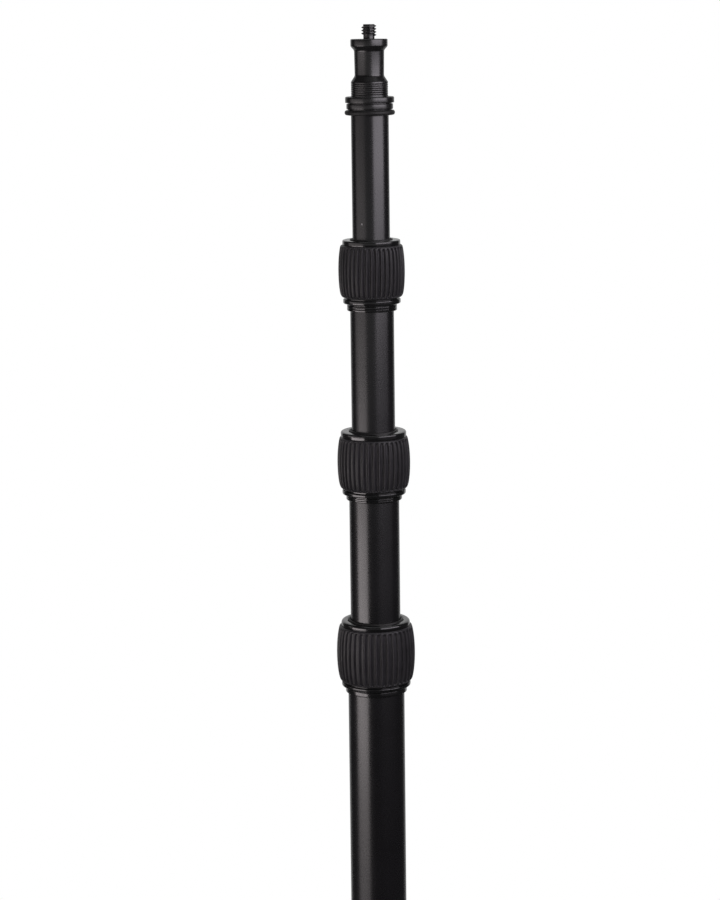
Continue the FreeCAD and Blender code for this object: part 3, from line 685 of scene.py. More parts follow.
class STAND_OT_stud(bpy.types.Operator):
    """Make the spigot on top, with its real thread"""

    bl_idname = "stand.stud"
    bl_label = "Stud"

    TOP_OVER_COLLAR = 24.3 * MM
    HEAD_HEIGHT = 3.0 * MM
    HEAD_TAPER = 1.8 * MM
    NECK_HEIGHT = 10.7 * MM
    NECK_RADIUS = 6.35 * MM
    NECK_FLARE = 0.08 * MM
    FOOT_TAPER = 2.5 * MM
    SHANK_HEIGHT = 24.0 * MM
    SHANK_RADIUS = 7.0 * MM
    SHANK_STEP = 0.5 * MM
    GROOVE_PITCH = 0.9 * MM
    GROOVE_DEPTH = 0.2 * MM
    GROOVE_ROUND = 0.06 * MM
    TIP_NECK_RADIUS = 2.4 * MM
    TIP_NECK_HEIGHT = 1.6 * MM
    TIP_CHAMFER = 0.4 * MM
    THREAD_RADIUS = 3.175 * MM
    THREAD_DEPTH = 0.72 * MM
    THREAD_ROOT = 0.15 * MM
    THREAD_TURNS = 3
    THREAD_END = 0.1 * MM

    def execute(self, context):
        """Turns the body and winds the thread round its tip."""
        low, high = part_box("stud")
        pitch = shape().thread_pitch
        core = self.THREAD_RADIUS - self.THREAD_DEPTH
        root = core - self.THREAD_ROOT
        body = turn_on_lathe("stud_spigot", self.outline(low.z, high.z, high.x, core))
        ridge = helix_ridge("stud_thread", [
            (root, 0.03 * pitch), (self.THREAD_RADIUS, 0.38 * pitch),
            (self.THREAD_RADIUS, 0.62 * pitch), (root, 0.97 * pitch),
        ], pitch, self.THREAD_TURNS, high.z - (self.THREAD_TURNS + 1) * pitch - self.THREAD_END)
        hand_over(join(body, ridge), "riser_1", "black_turned_stud", "stud")
        return {"FINISHED"}

    def outline(self, low_z, high_z, radius, core):
        """The body's outline, from the shank up to the threaded tip."""
        foot = low_z + self.SHANK_HEIGHT
        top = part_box("stop_ring")[1].z + self.TOP_OVER_COLLAR
        head_low = top - self.HEAD_HEIGHT
        neck_high = head_low - self.HEAD_TAPER
        neck_low = neck_high - self.NECK_HEIGHT
        foot_high = neck_low - self.FOOT_TAPER
        corners = [
            (0, low_z), (self.SHANK_RADIUS, low_z, 0.8 * MM),
            (self.SHANK_RADIUS, foot - self.SHANK_STEP), (radius, foot - self.SHANK_STEP, 0.15 * MM),
        ]
        for groove in range(1, int((foot_high - foot) / self.GROOVE_PITCH)):
            height = foot + groove * self.GROOVE_PITCH
            corners += [
                (radius, height - self.GROOVE_DEPTH, self.GROOVE_ROUND),
                (radius - self.GROOVE_DEPTH, height, self.GROOVE_ROUND),
                (radius, height + self.GROOVE_DEPTH, self.GROOVE_ROUND),
            ]
        tip_low = top + self.TIP_NECK_HEIGHT
        return corners + [
            (radius, foot_high, 0.35 * MM), (self.NECK_RADIUS - self.NECK_FLARE, neck_low, 0.5 * MM),
            (self.NECK_RADIUS + self.NECK_FLARE, neck_high, 0.5 * MM), (radius, head_low, 0.3 * MM),
            (radius, top, 0.4 * MM), (self.TIP_NECK_RADIUS, top, 0.25 * MM),
            (self.TIP_NECK_RADIUS, tip_low, 0.2 * MM), (core, tip_low + self.TIP_CHAMFER),
            (core, high_z, 0.3 * MM), (0, high_z),
        ]


class STAND_OT_stop_collar(bpy.types.Operator):
    """Make the ridged stop collar and its rubber bumper"""

    bl_idname = "stand.stop_collar"
    bl_label = "Stop collar"

    RING_RADIUS = 10.0 * MM
    GROOVE_RADIUS = 9.4 * MM
    TOP_HEIGHT = 2.6 * MM
    GROOVE_HEIGHT = 0.4 * MM
    BUMPER_ROUND = 0.95 * MM

    def execute(self, context):
        """Turns both rings and drills the collar for its grub screw."""
        low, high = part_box("stop_ring")
        tube_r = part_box("tube_1")[1].x
        top_low = high.z - self.TOP_HEIGHT
        ring_high = top_low - self.GROOVE_HEIGHT
        ring_low = low.z + self.GROOVE_HEIGHT
        collar = turn_on_lathe("stop_collar", [
            (tube_r, low.z), (self.GROOVE_RADIUS, low.z, 0.1 * MM),
            (self.GROOVE_RADIUS, ring_low), (self.RING_RADIUS, ring_low, 0.3 * MM),
            (self.RING_RADIUS, ring_high, 0.3 * MM), (self.GROOVE_RADIUS, ring_high),
            (self.GROOVE_RADIUS, top_low), (high.x, top_low, 0.35 * MM),
            (high.x, high.z, 0.55 * MM), (tube_r + 0.05 * MM, high.z, 0.2 * MM),
        ])
        cut_away(collar, self.grub_drill())
        smooth(collar)
        hand_over(collar, "riser_1", "black_turned_stud", "stop_ring")
        low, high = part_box("bumper_ring")
        edge_r = radius_between("bumper_ring", low.z, high.z)
        bumper = turn_on_lathe("stop_bumper", [
            (tube_r, low.z), (edge_r, low.z, self.BUMPER_ROUND),
            (edge_r, high.z, self.BUMPER_ROUND), (tube_r, high.z),
        ])
        hand_over(bumper, "riser_1", "soft_rubber", "bumper_ring")
        return {"FINISHED"}

    def grub_drill(self):
        """The cutter for the grub screw's hole, from behind."""
        low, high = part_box("grub_screw")
        level = (low.z + high.z) / 2
        return round_bar(
            "grub_drill", (0, low.y, level), (0, high.y + 2 * MM, level), (high.x - low.x) / 2, 48)


class STAND_OT_twist_locks(bpy.types.Operator):
    """Make the shell, grip, wiper and ferrule of the three twist locks"""

    bl_idname = "stand.twist_locks"
    bl_label = "Twist locks"

    WIPER_WIDTH = 1.2 * MM
    WIPER_GAP = 0.15 * MM
    THROAT_GAP = 0.4 * MM
    BARREL_POWER = 2.2
    END_BAND = 0.6 * MM
    SHOULDER_REACH = 1.1 * MM
    HEEL_REACH = 2.4 * MM
    SHELL_WALL = 1.2 * MM
    SHELL_CLEAR = 0.4 * MM
    WIPER_SEAT = 1.6 * MM
    COLLET_SEAT = 3.6 * MM
    CROWN = {1: 0.6 * MM, 2: 0.75 * MM, 3: 1.15 * MM}
    GROOVED_FERRULES = (1, 2)
    FERRULE_TAPER = 0.22 * MM
    FERRULE_GAP = 0.7 * MM
    FERRULE_GROOVE = 0.16 * MM
    GROOVE_HALF = 0.14 * MM
    CREST_STEP = 0.45 * MM
    THREAD_START = 7.0 * MM
    THREAD_PITCH = 1.5 * MM
    THREAD_DEPTH = 0.35 * MM
    THREAD_HALF = 0.4 * MM
    THREAD_TURNS = 6
    # Each inset of a flute: its width as a share of the land, and its depth as a share of the flute's
    FLUTE_STEPS = ((0.5, 0.0), (0.55, 0.85), (0.4, 0.35))
    BODY_LEVELS = (-0.36, -0.2, 0, 0.2, 0.36)
    END_LEVELS = (0.12, 0.3, 0.6)

    def execute(self, context):
        """Makes each lock's four pieces."""
        for number in LOCKS:
            body = f"twist_lock_{number}"
            hand_over(self.shell(number), body, "black_gloss_ring", f"lock_{number}_nut")
            hand_over(self.grip(number), body, "grip_rubber", f"lock_{number}_grip")
            hand_over(self.wiper(number), body, "soft_rubber", f"lock_{number}_wiper")
            hand_over(
                self.ferrule(number), TUBE_BODY[number + 1], "black_gloss_ring", f"lock_{number}_ferrule")
        return {"FINISHED"}

    def core_radius(self, number):
        """The shell's radius under the grip: the ferrule's thread, a running gap and the shell's wall."""
        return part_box(f"lock_{number}_ferrule")[1].x - self.SHELL_CLEAR + self.SHELL_WALL

    def shell(self, number):
        """The turned nut: its lower lip, the seat of the grip, the top ring and the stepped bore."""
        nut = f"lock_{number}_nut"
        low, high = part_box(nut)
        grip_low, grip_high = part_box(f"lock_{number}_grip")
        tube_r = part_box(f"tube_{number}")[1].x
        wiper_r = tube_r + self.WIPER_WIDTH
        throat_r = tube_r + self.THROAT_GAP
        core = self.core_radius(number)
        bore = core - self.SHELL_WALL
        ring_r = radius_between(nut, grip_high.z - HAIR, high.z)
        lip_high = grip_low.z - shape().lip_gap
        lip_r = radius_between(nut, low.z, lip_high + HAIR)
        return turn_on_lathe(f"lock_{number}_shell", [
            (bore, low.z, 0.2 * MM), (lip_r, low.z, 0.5 * MM),
            (lip_r, lip_high, 0.5 * MM), (core, lip_high),
            (core, grip_high.z), (ring_r, grip_high.z, 0.15 * MM),
            (ring_r, high.z, self.CROWN[number]), (wiper_r + 0.5 * MM, high.z, 0.1 * MM),
            (wiper_r, high.z - 0.3 * MM), (wiper_r, high.z - self.WIPER_SEAT),
            (throat_r, high.z - self.WIPER_SEAT), (throat_r, high.z - self.COLLET_SEAT),
            (bore, high.z - self.COLLET_SEAT),
        ])

    def grip(self, number):
        """The fluted rubber barrel."""
        settings = shape()
        node = f"lock_{number}_grip"
        low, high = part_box(node)
        core = self.core_radius(number)
        bulge_r = radius_between(node, low.z, high.z)
        end_r = radius_between(node, high.z - self.END_BAND, high.z)
        height = high.z - low.z
        middle = (high.z + low.z) / 2
        clear_selection()
        bpy.ops.mesh.primitive_cylinder_add(
            vertices=settings.flutes, radius=bulge_r, depth=height, end_fill_type="NOTHING",
            location=(0, 0, middle))
        sleeve = named(bpy.context.object, f"lock_{number}_sleeve")
        settle(sleeve)
        self.cut_level(sleeve, low.z + settings.flute_band)
        self.cut_level(sleeve, high.z - settings.flute_band)
        pick(sleeve, "FACE", lambda face: abs(face.center.z - middle) < height / 4)
        for width, depth in self.FLUTE_STEPS:
            bpy.ops.mesh.inset(
                thickness=settings.land_width * width, depth=-settings.flute_depth * depth,
                use_individual=True)
        to_object_mode()
        for share in self.BODY_LEVELS:
            self.cut_level(sleeve, middle + share * height)
        for share in self.END_LEVELS:
            self.cut_level(sleeve, low.z + share * self.HEEL_REACH)
            self.cut_level(sleeve, high.z - share * self.SHOULDER_REACH)
        self.bulge(sleeve, middle, height, end_r / bulge_r)
        self.close_ends(sleeve, low.z, high.z, core)
        modify(sleeve, "SUBSURF", levels=2, render_levels=2)
        self.fill_out(sleeve, bulge_r, core)
        clean_shell(sleeve)
        smooth(sleeve, 60)
        return sleeve

    def cut_level(self, piece, height):
        """Adds a ring of edges round a piece at a height."""
        edit_all(piece)
        bpy.ops.mesh.bisect(plane_co=(0, 0, height), plane_no=(0, 0, 1))
        to_object_mode()

    def bulge(self, sleeve, middle, height, end_share):
        """Draws each level in, so that the sleeve is a barrel with round ends."""
        largest = max(off_axis(v.co) for v in sleeve.data.vertices)

        def share(place):
            """How far in a place is drawn."""
            from_middle = abs(place.z - middle) / (height / 2)
            barrel = 1 - (1 - end_share) * from_middle**self.BARREL_POWER
            if place.z > middle:
                drop, reach = shape().shoulder, self.SHOULDER_REACH
            else:
                drop, reach = shape().heel, self.HEEL_REACH
            rounded = max(0.0, 1 - height / 2 * (1 - from_middle) / reach)
            return barrel - drop / largest * (1 - math.sqrt(max(0.0, 1 - rounded**2)))

        draw_in(sleeve.data.vertices, share)

    def fill_out(self, sleeve, bulge_r, bore):
        """Makes up for what the smoothing took off the sleeve's outside."""
        reached = max(off_axis(v.co) for v in sleeve.data.vertices)
        gain = (bulge_r - bore) / (reached - bore)
        draw_in(sleeve.data.vertices, lambda place: (
            (bore + max(0.0, off_axis(place) - bore) * gain) / off_axis(place)))

    def close_ends(self, sleeve, low_z, high_z, bore):
        """Turns both open ends in to the bore and joins them with the inner wall."""
        for end in (low_z, high_z):
            pick_edges(sleeve, lambda place: place.z, end)
            bpy.ops.mesh.extrude_edges_move()
            to_object_mode()
            draw_in([v for v in sleeve.data.vertices if v.select], lambda place: bore / off_axis(place))
        pick_edges(sleeve, off_axis, bore)
        bpy.ops.mesh.bridge_edge_loops()
        to_object_mode()

    def wiper(self, number):
        """The soft ring between the nut and the inner tube."""
        low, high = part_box(f"lock_{number}_wiper")
        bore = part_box(f"tube_{number}")[1].x + self.WIPER_GAP
        return turn_on_lathe(f"lock_{number}_wiper_ring", [
            (bore, low.z), (high.x, low.z), (high.x, high.z - 0.5 * MM),
            (high.x - 0.25 * MM, high.z, 0.25 * MM), (bore, high.z, 0.3 * MM),
        ])

    def ferrule(self, number):
        """The ring fixed on the lower tube: its foot shows, and its threaded neck is inside the nut."""
        low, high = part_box(f"lock_{number}_ferrule")
        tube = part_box(f"tube_{number + 1}")[1]
        seat_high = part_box(f"lock_{number}_nut")[0].z - self.FERRULE_GAP
        crest = high.x - self.CREST_STEP
        middle = (low.z + seat_high) / 2
        corners = [(tube.x, low.z), (high.x, low.z, 0.3 * MM)]
        if number in self.GROOVED_FERRULES:
            corners += [
                (high.x, middle - self.GROOVE_HALF, 0.05 * MM),
                (high.x - self.FERRULE_GROOVE, middle, 0.05 * MM),
                (high.x, middle + self.GROOVE_HALF, 0.05 * MM), (high.x, seat_high, 0.25 * MM),
            ]
        else:
            corners.append((high.x - self.FERRULE_TAPER, seat_high, 0.25 * MM))
        corners.append((crest, seat_high))
        for turn in range(self.THREAD_TURNS):
            height = low.z + self.THREAD_START + self.THREAD_PITCH * turn
            corners += [
                (crest, height), (crest - self.THREAD_DEPTH, height + self.THREAD_HALF),
                (crest, height + 2 * self.THREAD_HALF),
            ]
        corners += [
            (crest, high.z, 0.2 * MM), (tube.x - 0.15 * MM, high.z),
            (tube.x - 0.6 * MM, tube.z), (tube.x, tube.z),
        ]
        return turn_on_lathe(f"lock_{number}_seat", corners)


def screw_drill():
    """The cutter for the clamp screw's hole, from the column's axis to the front."""
    low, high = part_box("brake_pad")
    level = (low.z + high.z) / 2
    return round_bar(
        "screw_hole", (0, 0, level), (0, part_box("clamp_head")[0].y - MM, level),
        (high.x - low.x) / 2 + 0.05 * MM, 48)


class STAND_OT_base_stack(bpy.types.Operator):
    """Make the base's sleeve, its cap, the disc springs and the spacers"""

    bl_idname = "stand.base_stack"
    bl_label = "Base stack"

    SLEEVE_GAP = 0.05 * MM
    CAP_SEAT_GAP = 0.05 * MM
    CAP_DISH = 1.0 * MM
    CAP_GROOVE_DEPTH = 0.8 * MM
    CAP_GROOVE_MOUTH = 0.5 * MM
    CAP_GROOVE_FLOOR = 0.3 * MM
    SPRING_SHEET = 1.2 * MM
    SPRING_GAP = 0.3 * MM
    SPRING_APART = 0.02 * MM
    WASHER_GAP = 0.1 * MM
    WASHER_DROP = 0.04 * MM
    WASHER_HEIGHT = 1.92 * MM

    def execute(self, context):
        """Makes the four pieces."""
        hand_over(self.sleeve(), "base", "black_painted_steel", "base_sleeve")
        hand_over(self.cap(), "base", "black_painted_steel", "base_cap")
        hand_over(self.springs(), "base", "dark_steel", "disc_springs")
        hand_over(self.spacers(), "base", "nylon", "collar_spacers")
        return {"FINISHED"}

    def sleeve(self):
        """The tube that the column slides in, with the clamp screw's hole."""
        low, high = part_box("base_sleeve")
        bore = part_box("tube_4")[1].x + self.SLEEVE_GAP
        sleeve = turn_on_lathe("sleeve_tube", [
            (bore, low.z), (high.x, low.z, 0.3 * MM), (high.x, high.z, 1.0 * MM), (bore, high.z, 0.8 * MM),
        ])
        cut_away(sleeve, screw_drill())
        smooth(sleeve)
        return sleeve

    def cap(self):
        """The grooved cap under the sleeve, dished below."""
        low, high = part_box("base_cap")
        sleeve_low, sleeve_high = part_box("base_sleeve")
        column_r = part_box("tube_4")[1].x
        floor_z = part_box("column_end_cap")[0].z - self.CAP_SEAT_GAP
        groove_z = (low.z + high.z) / 2
        groove_r = high.x - self.CAP_GROOVE_DEPTH
        return turn_on_lathe("sleeve_cap", [
            (0, low.z + self.CAP_DISH), (high.x * 0.55, low.z + self.CAP_DISH, 0.8 * MM),
            (high.x * 0.6, low.z, 0.6 * MM), (high.x, low.z, 2.4 * MM),
            (high.x, groove_z - self.CAP_GROOVE_MOUTH, 0.2 * MM),
            (groove_r, groove_z - self.CAP_GROOVE_FLOOR, 0.2 * MM),
            (groove_r, groove_z + self.CAP_GROOVE_FLOOR, 0.2 * MM),
            (high.x, groove_z + self.CAP_GROOVE_MOUTH, 0.2 * MM),
            (high.x, high.z, 1.2 * MM), (sleeve_high.x, high.z),
            (sleeve_high.x, sleeve_low.z), (column_r, sleeve_low.z), (column_r, floor_z), (0, floor_z),
        ])

    def springs(self):
        """Two dished springs, back to back."""
        low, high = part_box("disc_springs")
        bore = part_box("base_sleeve")[1].x + self.SPRING_GAP
        middle = (low.z + high.z) / 2
        half = (high.z - low.z) / 2
        discs = [
            turn_on_lathe(f"disc_{name}", [
                (bore, middle + way * (half - self.SPRING_SHEET), 0.2 * MM),
                (bore, middle + way * half, 0.3 * MM),
                (high.x, middle + way * (self.SPRING_SHEET + self.SPRING_APART), 0.45 * MM),
                (high.x, middle + way * self.SPRING_APART, 0.2 * MM),
            ])
            for name, way in (("low", -1), ("high", 1))
        ]
        return named(join(*discs), "dished_springs")

    def spacers(self):
        """A nylon washer under each collar."""
        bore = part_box("base_sleeve")[1].x + self.WASHER_GAP
        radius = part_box("collar_spacers")[1].x
        washers = []
        for leg in LEG_BODY:
            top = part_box(f"{leg}_leg_collar")[0].z - self.WASHER_DROP
            foot = top - self.WASHER_HEIGHT
            washers.append(turn_on_lathe(f"washer_{leg}", [
                (bore, foot, 0.2 * MM), (radius, foot, 0.5 * MM),
                (radius, top, 0.5 * MM), (bore, top, 0.2 * MM),
            ]))
        return named(join(*washers), "collar_washers")


def leg_sizes(leg):
    """A leg's measures, read from the CAD frame: the high leg runs straight along +Y."""
    low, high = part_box("high_leg_tube")
    collar_low, collar_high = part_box(f"{leg}_leg_collar")
    return {
        "radius": high.x,
        "start": low.y,
        "reach": high.y,
        "level": (collar_low.z + collar_high.z) / 2,
        "floor_level": low.z + high.x,
        "azimuth": LEG_AZIMUTH[leg],
    }


class STAND_OT_leg_collars(bpy.types.Operator):
    """Make the three cast collars and the rivets through them"""

    bl_idname = "stand.leg_collars"
    bl_label = "Leg collars"

    HUB_ROUND = 2.0 * MM
    RIM_WIDTH = 5.0 * MM
    RIM_HEIGHT = 1.2 * MM
    WEB_WIDTH = 3.2 * MM
    WEB_HEIGHT = 0.7 * MM
    TURNING_GAP = 0.06 * MM
    VOXEL = 0.55 * MM
    MELT_PASSES = 10
    RIVET_AT = 35 * MM
    RIVET_SHANK = 2.5 * MM
    RIVET_SEAT = 0.4 * MM
    RIVET_RIM = 0.3 * MM

    def execute(self, context):
        """Makes a collar and a rivet for each leg."""
        for leg, body in LEG_BODY.items():
            hand_over(self.collar(leg), body, "black_cast", f"{leg}_leg_collar")
            hand_over(self.rivet(leg), body, "bright_steel", f"{leg}_leg_rivet")
        return {"FINISHED"}

    def collar(self, leg):
        """A hub with a rimmed socket and webs, cast in one and bored."""
        sizes = leg_sizes(leg)
        level = sizes["level"]
        low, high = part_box(f"{leg}_leg_collar")
        hub_r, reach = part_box("high_leg_collar")[1].xy
        socket_r = half_height(f"{leg}_leg_rivet") - RIVET_HEAD
        casting = turn_on_lathe(f"cast_collar_{leg}", [
            (0, low.z), (hub_r, low.z, self.HUB_ROUND), (hub_r, high.z, self.HUB_ROUND), (0, high.z),
        ])
        socket = round_bar("socket", (0, 0, level), (reach, 0, level), socket_r)
        rim = round_bar(
            "rim", (reach - self.RIM_WIDTH, 0, level), (reach, 0, level), socket_r + self.RIM_HEIGHT)
        web_start = hub_r * 0.5
        web_length = reach - self.RIM_WIDTH - web_start
        web = block(
            "web", (web_start + web_length / 2, 0, level),
            (web_length, self.WEB_WIDTH, 2 * (socket_r + self.WEB_HEIGHT)))
        grow_together(casting, socket, rim, web)
        soften_like_a_casting(casting, self.VOXEL, self.MELT_PASSES)
        bore_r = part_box("base_sleeve")[1].x + (self.TURNING_GAP if leg != "high" else 0)
        cut_away(
            casting,
            round_bar("bore", (0, 0, low.z - MM), (0, 0, high.z + MM), bore_r, 128),
            round_bar("leg_hole", (sizes["start"], 0, level), (reach + MM, 0, level), sizes["radius"]))
        smooth(casting, 40)
        return turn_about_column(casting, sizes["azimuth"])

    def rivet(self, leg):
        """A rivet with a low round head above and below the socket."""
        sizes = leg_sizes(leg)
        head_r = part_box("high_leg_rivet")[1].x
        socket_r = half_height(f"{leg}_leg_rivet") - RIVET_HEAD
        half = [
            (self.RIVET_SHANK, socket_r - self.RIVET_SEAT), (head_r, socket_r - self.RIVET_SEAT),
            (head_r, socket_r + self.RIVET_RIM, 0.25 * MM),
            (head_r * 0.62, socket_r + RIVET_HEAD, 1.2 * MM), (0, socket_r + RIVET_HEAD),
        ]
        mirrored = [(corner[0], -corner[1], *corner[2:]) for corner in reversed(half)]
        rivet = turn_on_lathe(f"rivet_{leg}", mirrored + half, 48)
        rivet.location = (self.RIVET_AT, 0, sizes["level"])
        settle(rivet)
        return turn_about_column(rivet, sizes["azimuth"])


class STAND_OT_legs(bpy.types.Operator):
    """Make the three bent steel legs"""

    bl_idname = "stand.legs"
    bl_label = "Legs"

    SIDES = 64
    BEND_STEPS = 20

    def execute(self, context):
        """Bends a leg for each collar."""
        for leg, body in LEG_BODY.items():
            hand_over(self.bent_leg(leg), body, "black_painted_steel", f"{leg}_leg_tube")
        return {"FINISHED"}

    def bent_leg(self, leg):
        """A ring of edges drawn out along the level runs and spun round the two bends."""
        sizes = leg_sizes(leg)
        bend_r = shape().leg_bend
        slope = shape().leg_slope
        tangent = bend_r * math.tan(slope / 2)
        drop = sizes["level"] - sizes["floor_level"]
        slope_length = drop / math.sin(slope) - 2 * tangent
        first_run = shape().leg_level_run - tangent - sizes["start"]
        second_corner = shape().leg_level_run + drop / math.tan(slope)
        last_run = sizes["reach"] - second_corner - tangent
        clear_selection()
        bpy.ops.mesh.primitive_circle_add(
            vertices=self.SIDES, radius=sizes["radius"], fill_type="NOTHING",
            location=(sizes["start"], 0, sizes["level"]), rotation=(0, math.pi / 2, 0))
        tube = named(bpy.context.object, f"bent_leg_{leg}")
        settle(tube)
        edit_all(tube)
        self.draw_out((first_run, 0, 0))
        self.bend(slope, (sizes["start"] + first_run, 0, sizes["level"] - bend_r), 1)
        self.draw_out((math.cos(slope) * slope_length, 0, -math.sin(slope) * slope_length))
        self.bend(slope, (second_corner + tangent, 0, sizes["floor_level"] + bend_r), -1)
        self.draw_out((last_run, 0, 0))
        to_object_mode()
        for end in (sizes["start"], sizes["reach"]):
            pick_edges(tube, lambda place: place.x, end)
            bpy.ops.mesh.edge_face_add()
            to_object_mode()
        clean_shell(tube)
        smooth(tube, 40)
        return turn_about_column(tube, sizes["azimuth"])

    def draw_out(self, run):
        """Extrudes the selected ring straight."""
        bpy.ops.mesh.extrude_edges_move(TRANSFORM_OT_translate={"value": run})

    def bend(self, angle, centre, way):
        """Spins the selected ring downwards (1) or back to level (-1)."""
        bpy.ops.mesh.spin(steps=self.BEND_STEPS, angle=angle, center=centre, axis=(0, -way, 0))


class STAND_OT_feet(bpy.types.Operator):
    """Make the rubber feet"""

    bl_idname = "stand.feet"
    bl_label = "Feet"

    VOXEL = 0.5 * MM
    MELT_PASSES = 4
    RIBS = 3
    RIB_PITCH = 3.0 * MM
    RIB_DEPTH = 0.7 * MM
    RIB_EDGES = (0.4 * MM, 0.9 * MM, 1.3 * MM)
    SOLE_SHORTER = 6 * MM
    SOLE_WIDTH = 17 * MM
    SOLE_ROUND = 2.2 * MM
    TREADS = 5
    TREAD_SIZE = (1.8 * MM, 30 * MM, 2.4 * MM)
    LEVELLED = 0.3 * MM

    def execute(self, context):
        """Makes a foot for each leg."""
        for leg, body in LEG_BODY.items():
            hand_over(self.foot(leg), body, "foot_rubber", f"{leg}_leg_foot")
        return {"FINISHED"}

    def foot(self, leg):
        """A ribbed boot on a treaded sole, moulded in one round the leg's end."""
        sizes = leg_sizes(leg)
        level = sizes["floor_level"]
        low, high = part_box("high_leg_foot")
        mouth, tip, boot_r = low.y, high.y, high.x
        corners = [(0, 0), (boot_r, 0, 0.8 * MM)]
        for rib in range(self.RIBS):
            along = (rib + 1) * self.RIB_PITCH
            inner, outer, end = (along + edge for edge in self.RIB_EDGES)
            corners += [
                (boot_r, along, 0.4 * MM), (boot_r - self.RIB_DEPTH, inner, 0.3 * MM),
                (boot_r - self.RIB_DEPTH, outer, 0.3 * MM), (boot_r, end, 0.4 * MM),
            ]
        corners += [(boot_r, tip - mouth, 2.2 * MM), (0, tip - mouth)]
        boot = turn_on_lathe(f"foot_boot_{leg}", corners, 96)
        lay_along(boot, (mouth, 0, level), (1, 0, 0))
        grow_together(boot, self.sole(mouth, tip, level))
        soften_like_a_casting(boot, self.VOXEL, self.MELT_PASSES)
        self.level_sole(boot)
        cut_away(boot, round_bar(
            "leg_space", (mouth - MM, 0, level), (sizes["reach"], 0, level), sizes["radius"]))
        smooth(boot, 45)
        return turn_about_column(boot, sizes["azimuth"])

    def sole(self, mouth, tip, level):
        """A block under the boot with rounded sides and tread grooves across it."""
        length = tip - mouth - self.SOLE_SHORTER
        sole = block("sole", ((mouth + tip) / 2, 0, level / 2), (length, self.SOLE_WIDTH, level))
        modify(sole, "BEVEL", width=self.SOLE_ROUND, segments=4, limit_method="ANGLE")
        for tread in range(self.TREADS):
            along = mouth + self.SOLE_SHORTER / 2 + length * (tread + 0.5) / self.TREADS
            cut_away(sole, block("groove", (along, 0, 0), self.TREAD_SIZE))
        return sole

    def level_sole(self, boot):
        """Brings the sole back down to the floor after the smoothing."""
        lowest = min(point.co.z for point in boot.data.vertices)
        for point in boot.data.vertices:
            if point.co.z < lowest + self.LEVELLED:
                point.co.z = 0.0


class STAND_OT_clamp(bpy.types.Operator):
    """Make the column clamp's casting"""

    bl_idname = "stand.clamp"
    bl_label = "Column clamp"

    HUB_ROUND = 2.6 * MM
    BOSS_RADIUS = 9.5 * MM
    VOXEL = 0.55 * MM
    MELT_PASSES = 12

    def execute(self, context):
        """A hub and a boss, cast in one, bored for the sleeve and drilled for the screw."""
        low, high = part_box("clamp_head")
        pad_low, pad_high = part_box("brake_pad")
        level = (pad_low.z + pad_high.z) / 2
        casting = turn_on_lathe("clamp_casting", [
            (0, low.z), (high.x, low.z, self.HUB_ROUND), (high.x, high.z, self.HUB_ROUND), (0, high.z),
        ])
        boss = round_bar("boss", (0, 0, level), (0, low.y, level), self.BOSS_RADIUS)
        grow_together(casting, boss)
        soften_like_a_casting(casting, self.VOXEL, self.MELT_PASSES)
        sleeve_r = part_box("base_sleeve")[1].x
        bore = round_bar("bore", (0, 0, low.z - MM), (0, 0, high.z + MM), sleeve_r, 128)
        cut_away(casting, bore, screw_drill())
        smooth(casting, 40)
        hand_over(casting, "base", "black_cast", "clamp_head")
        return {"FINISHED"}


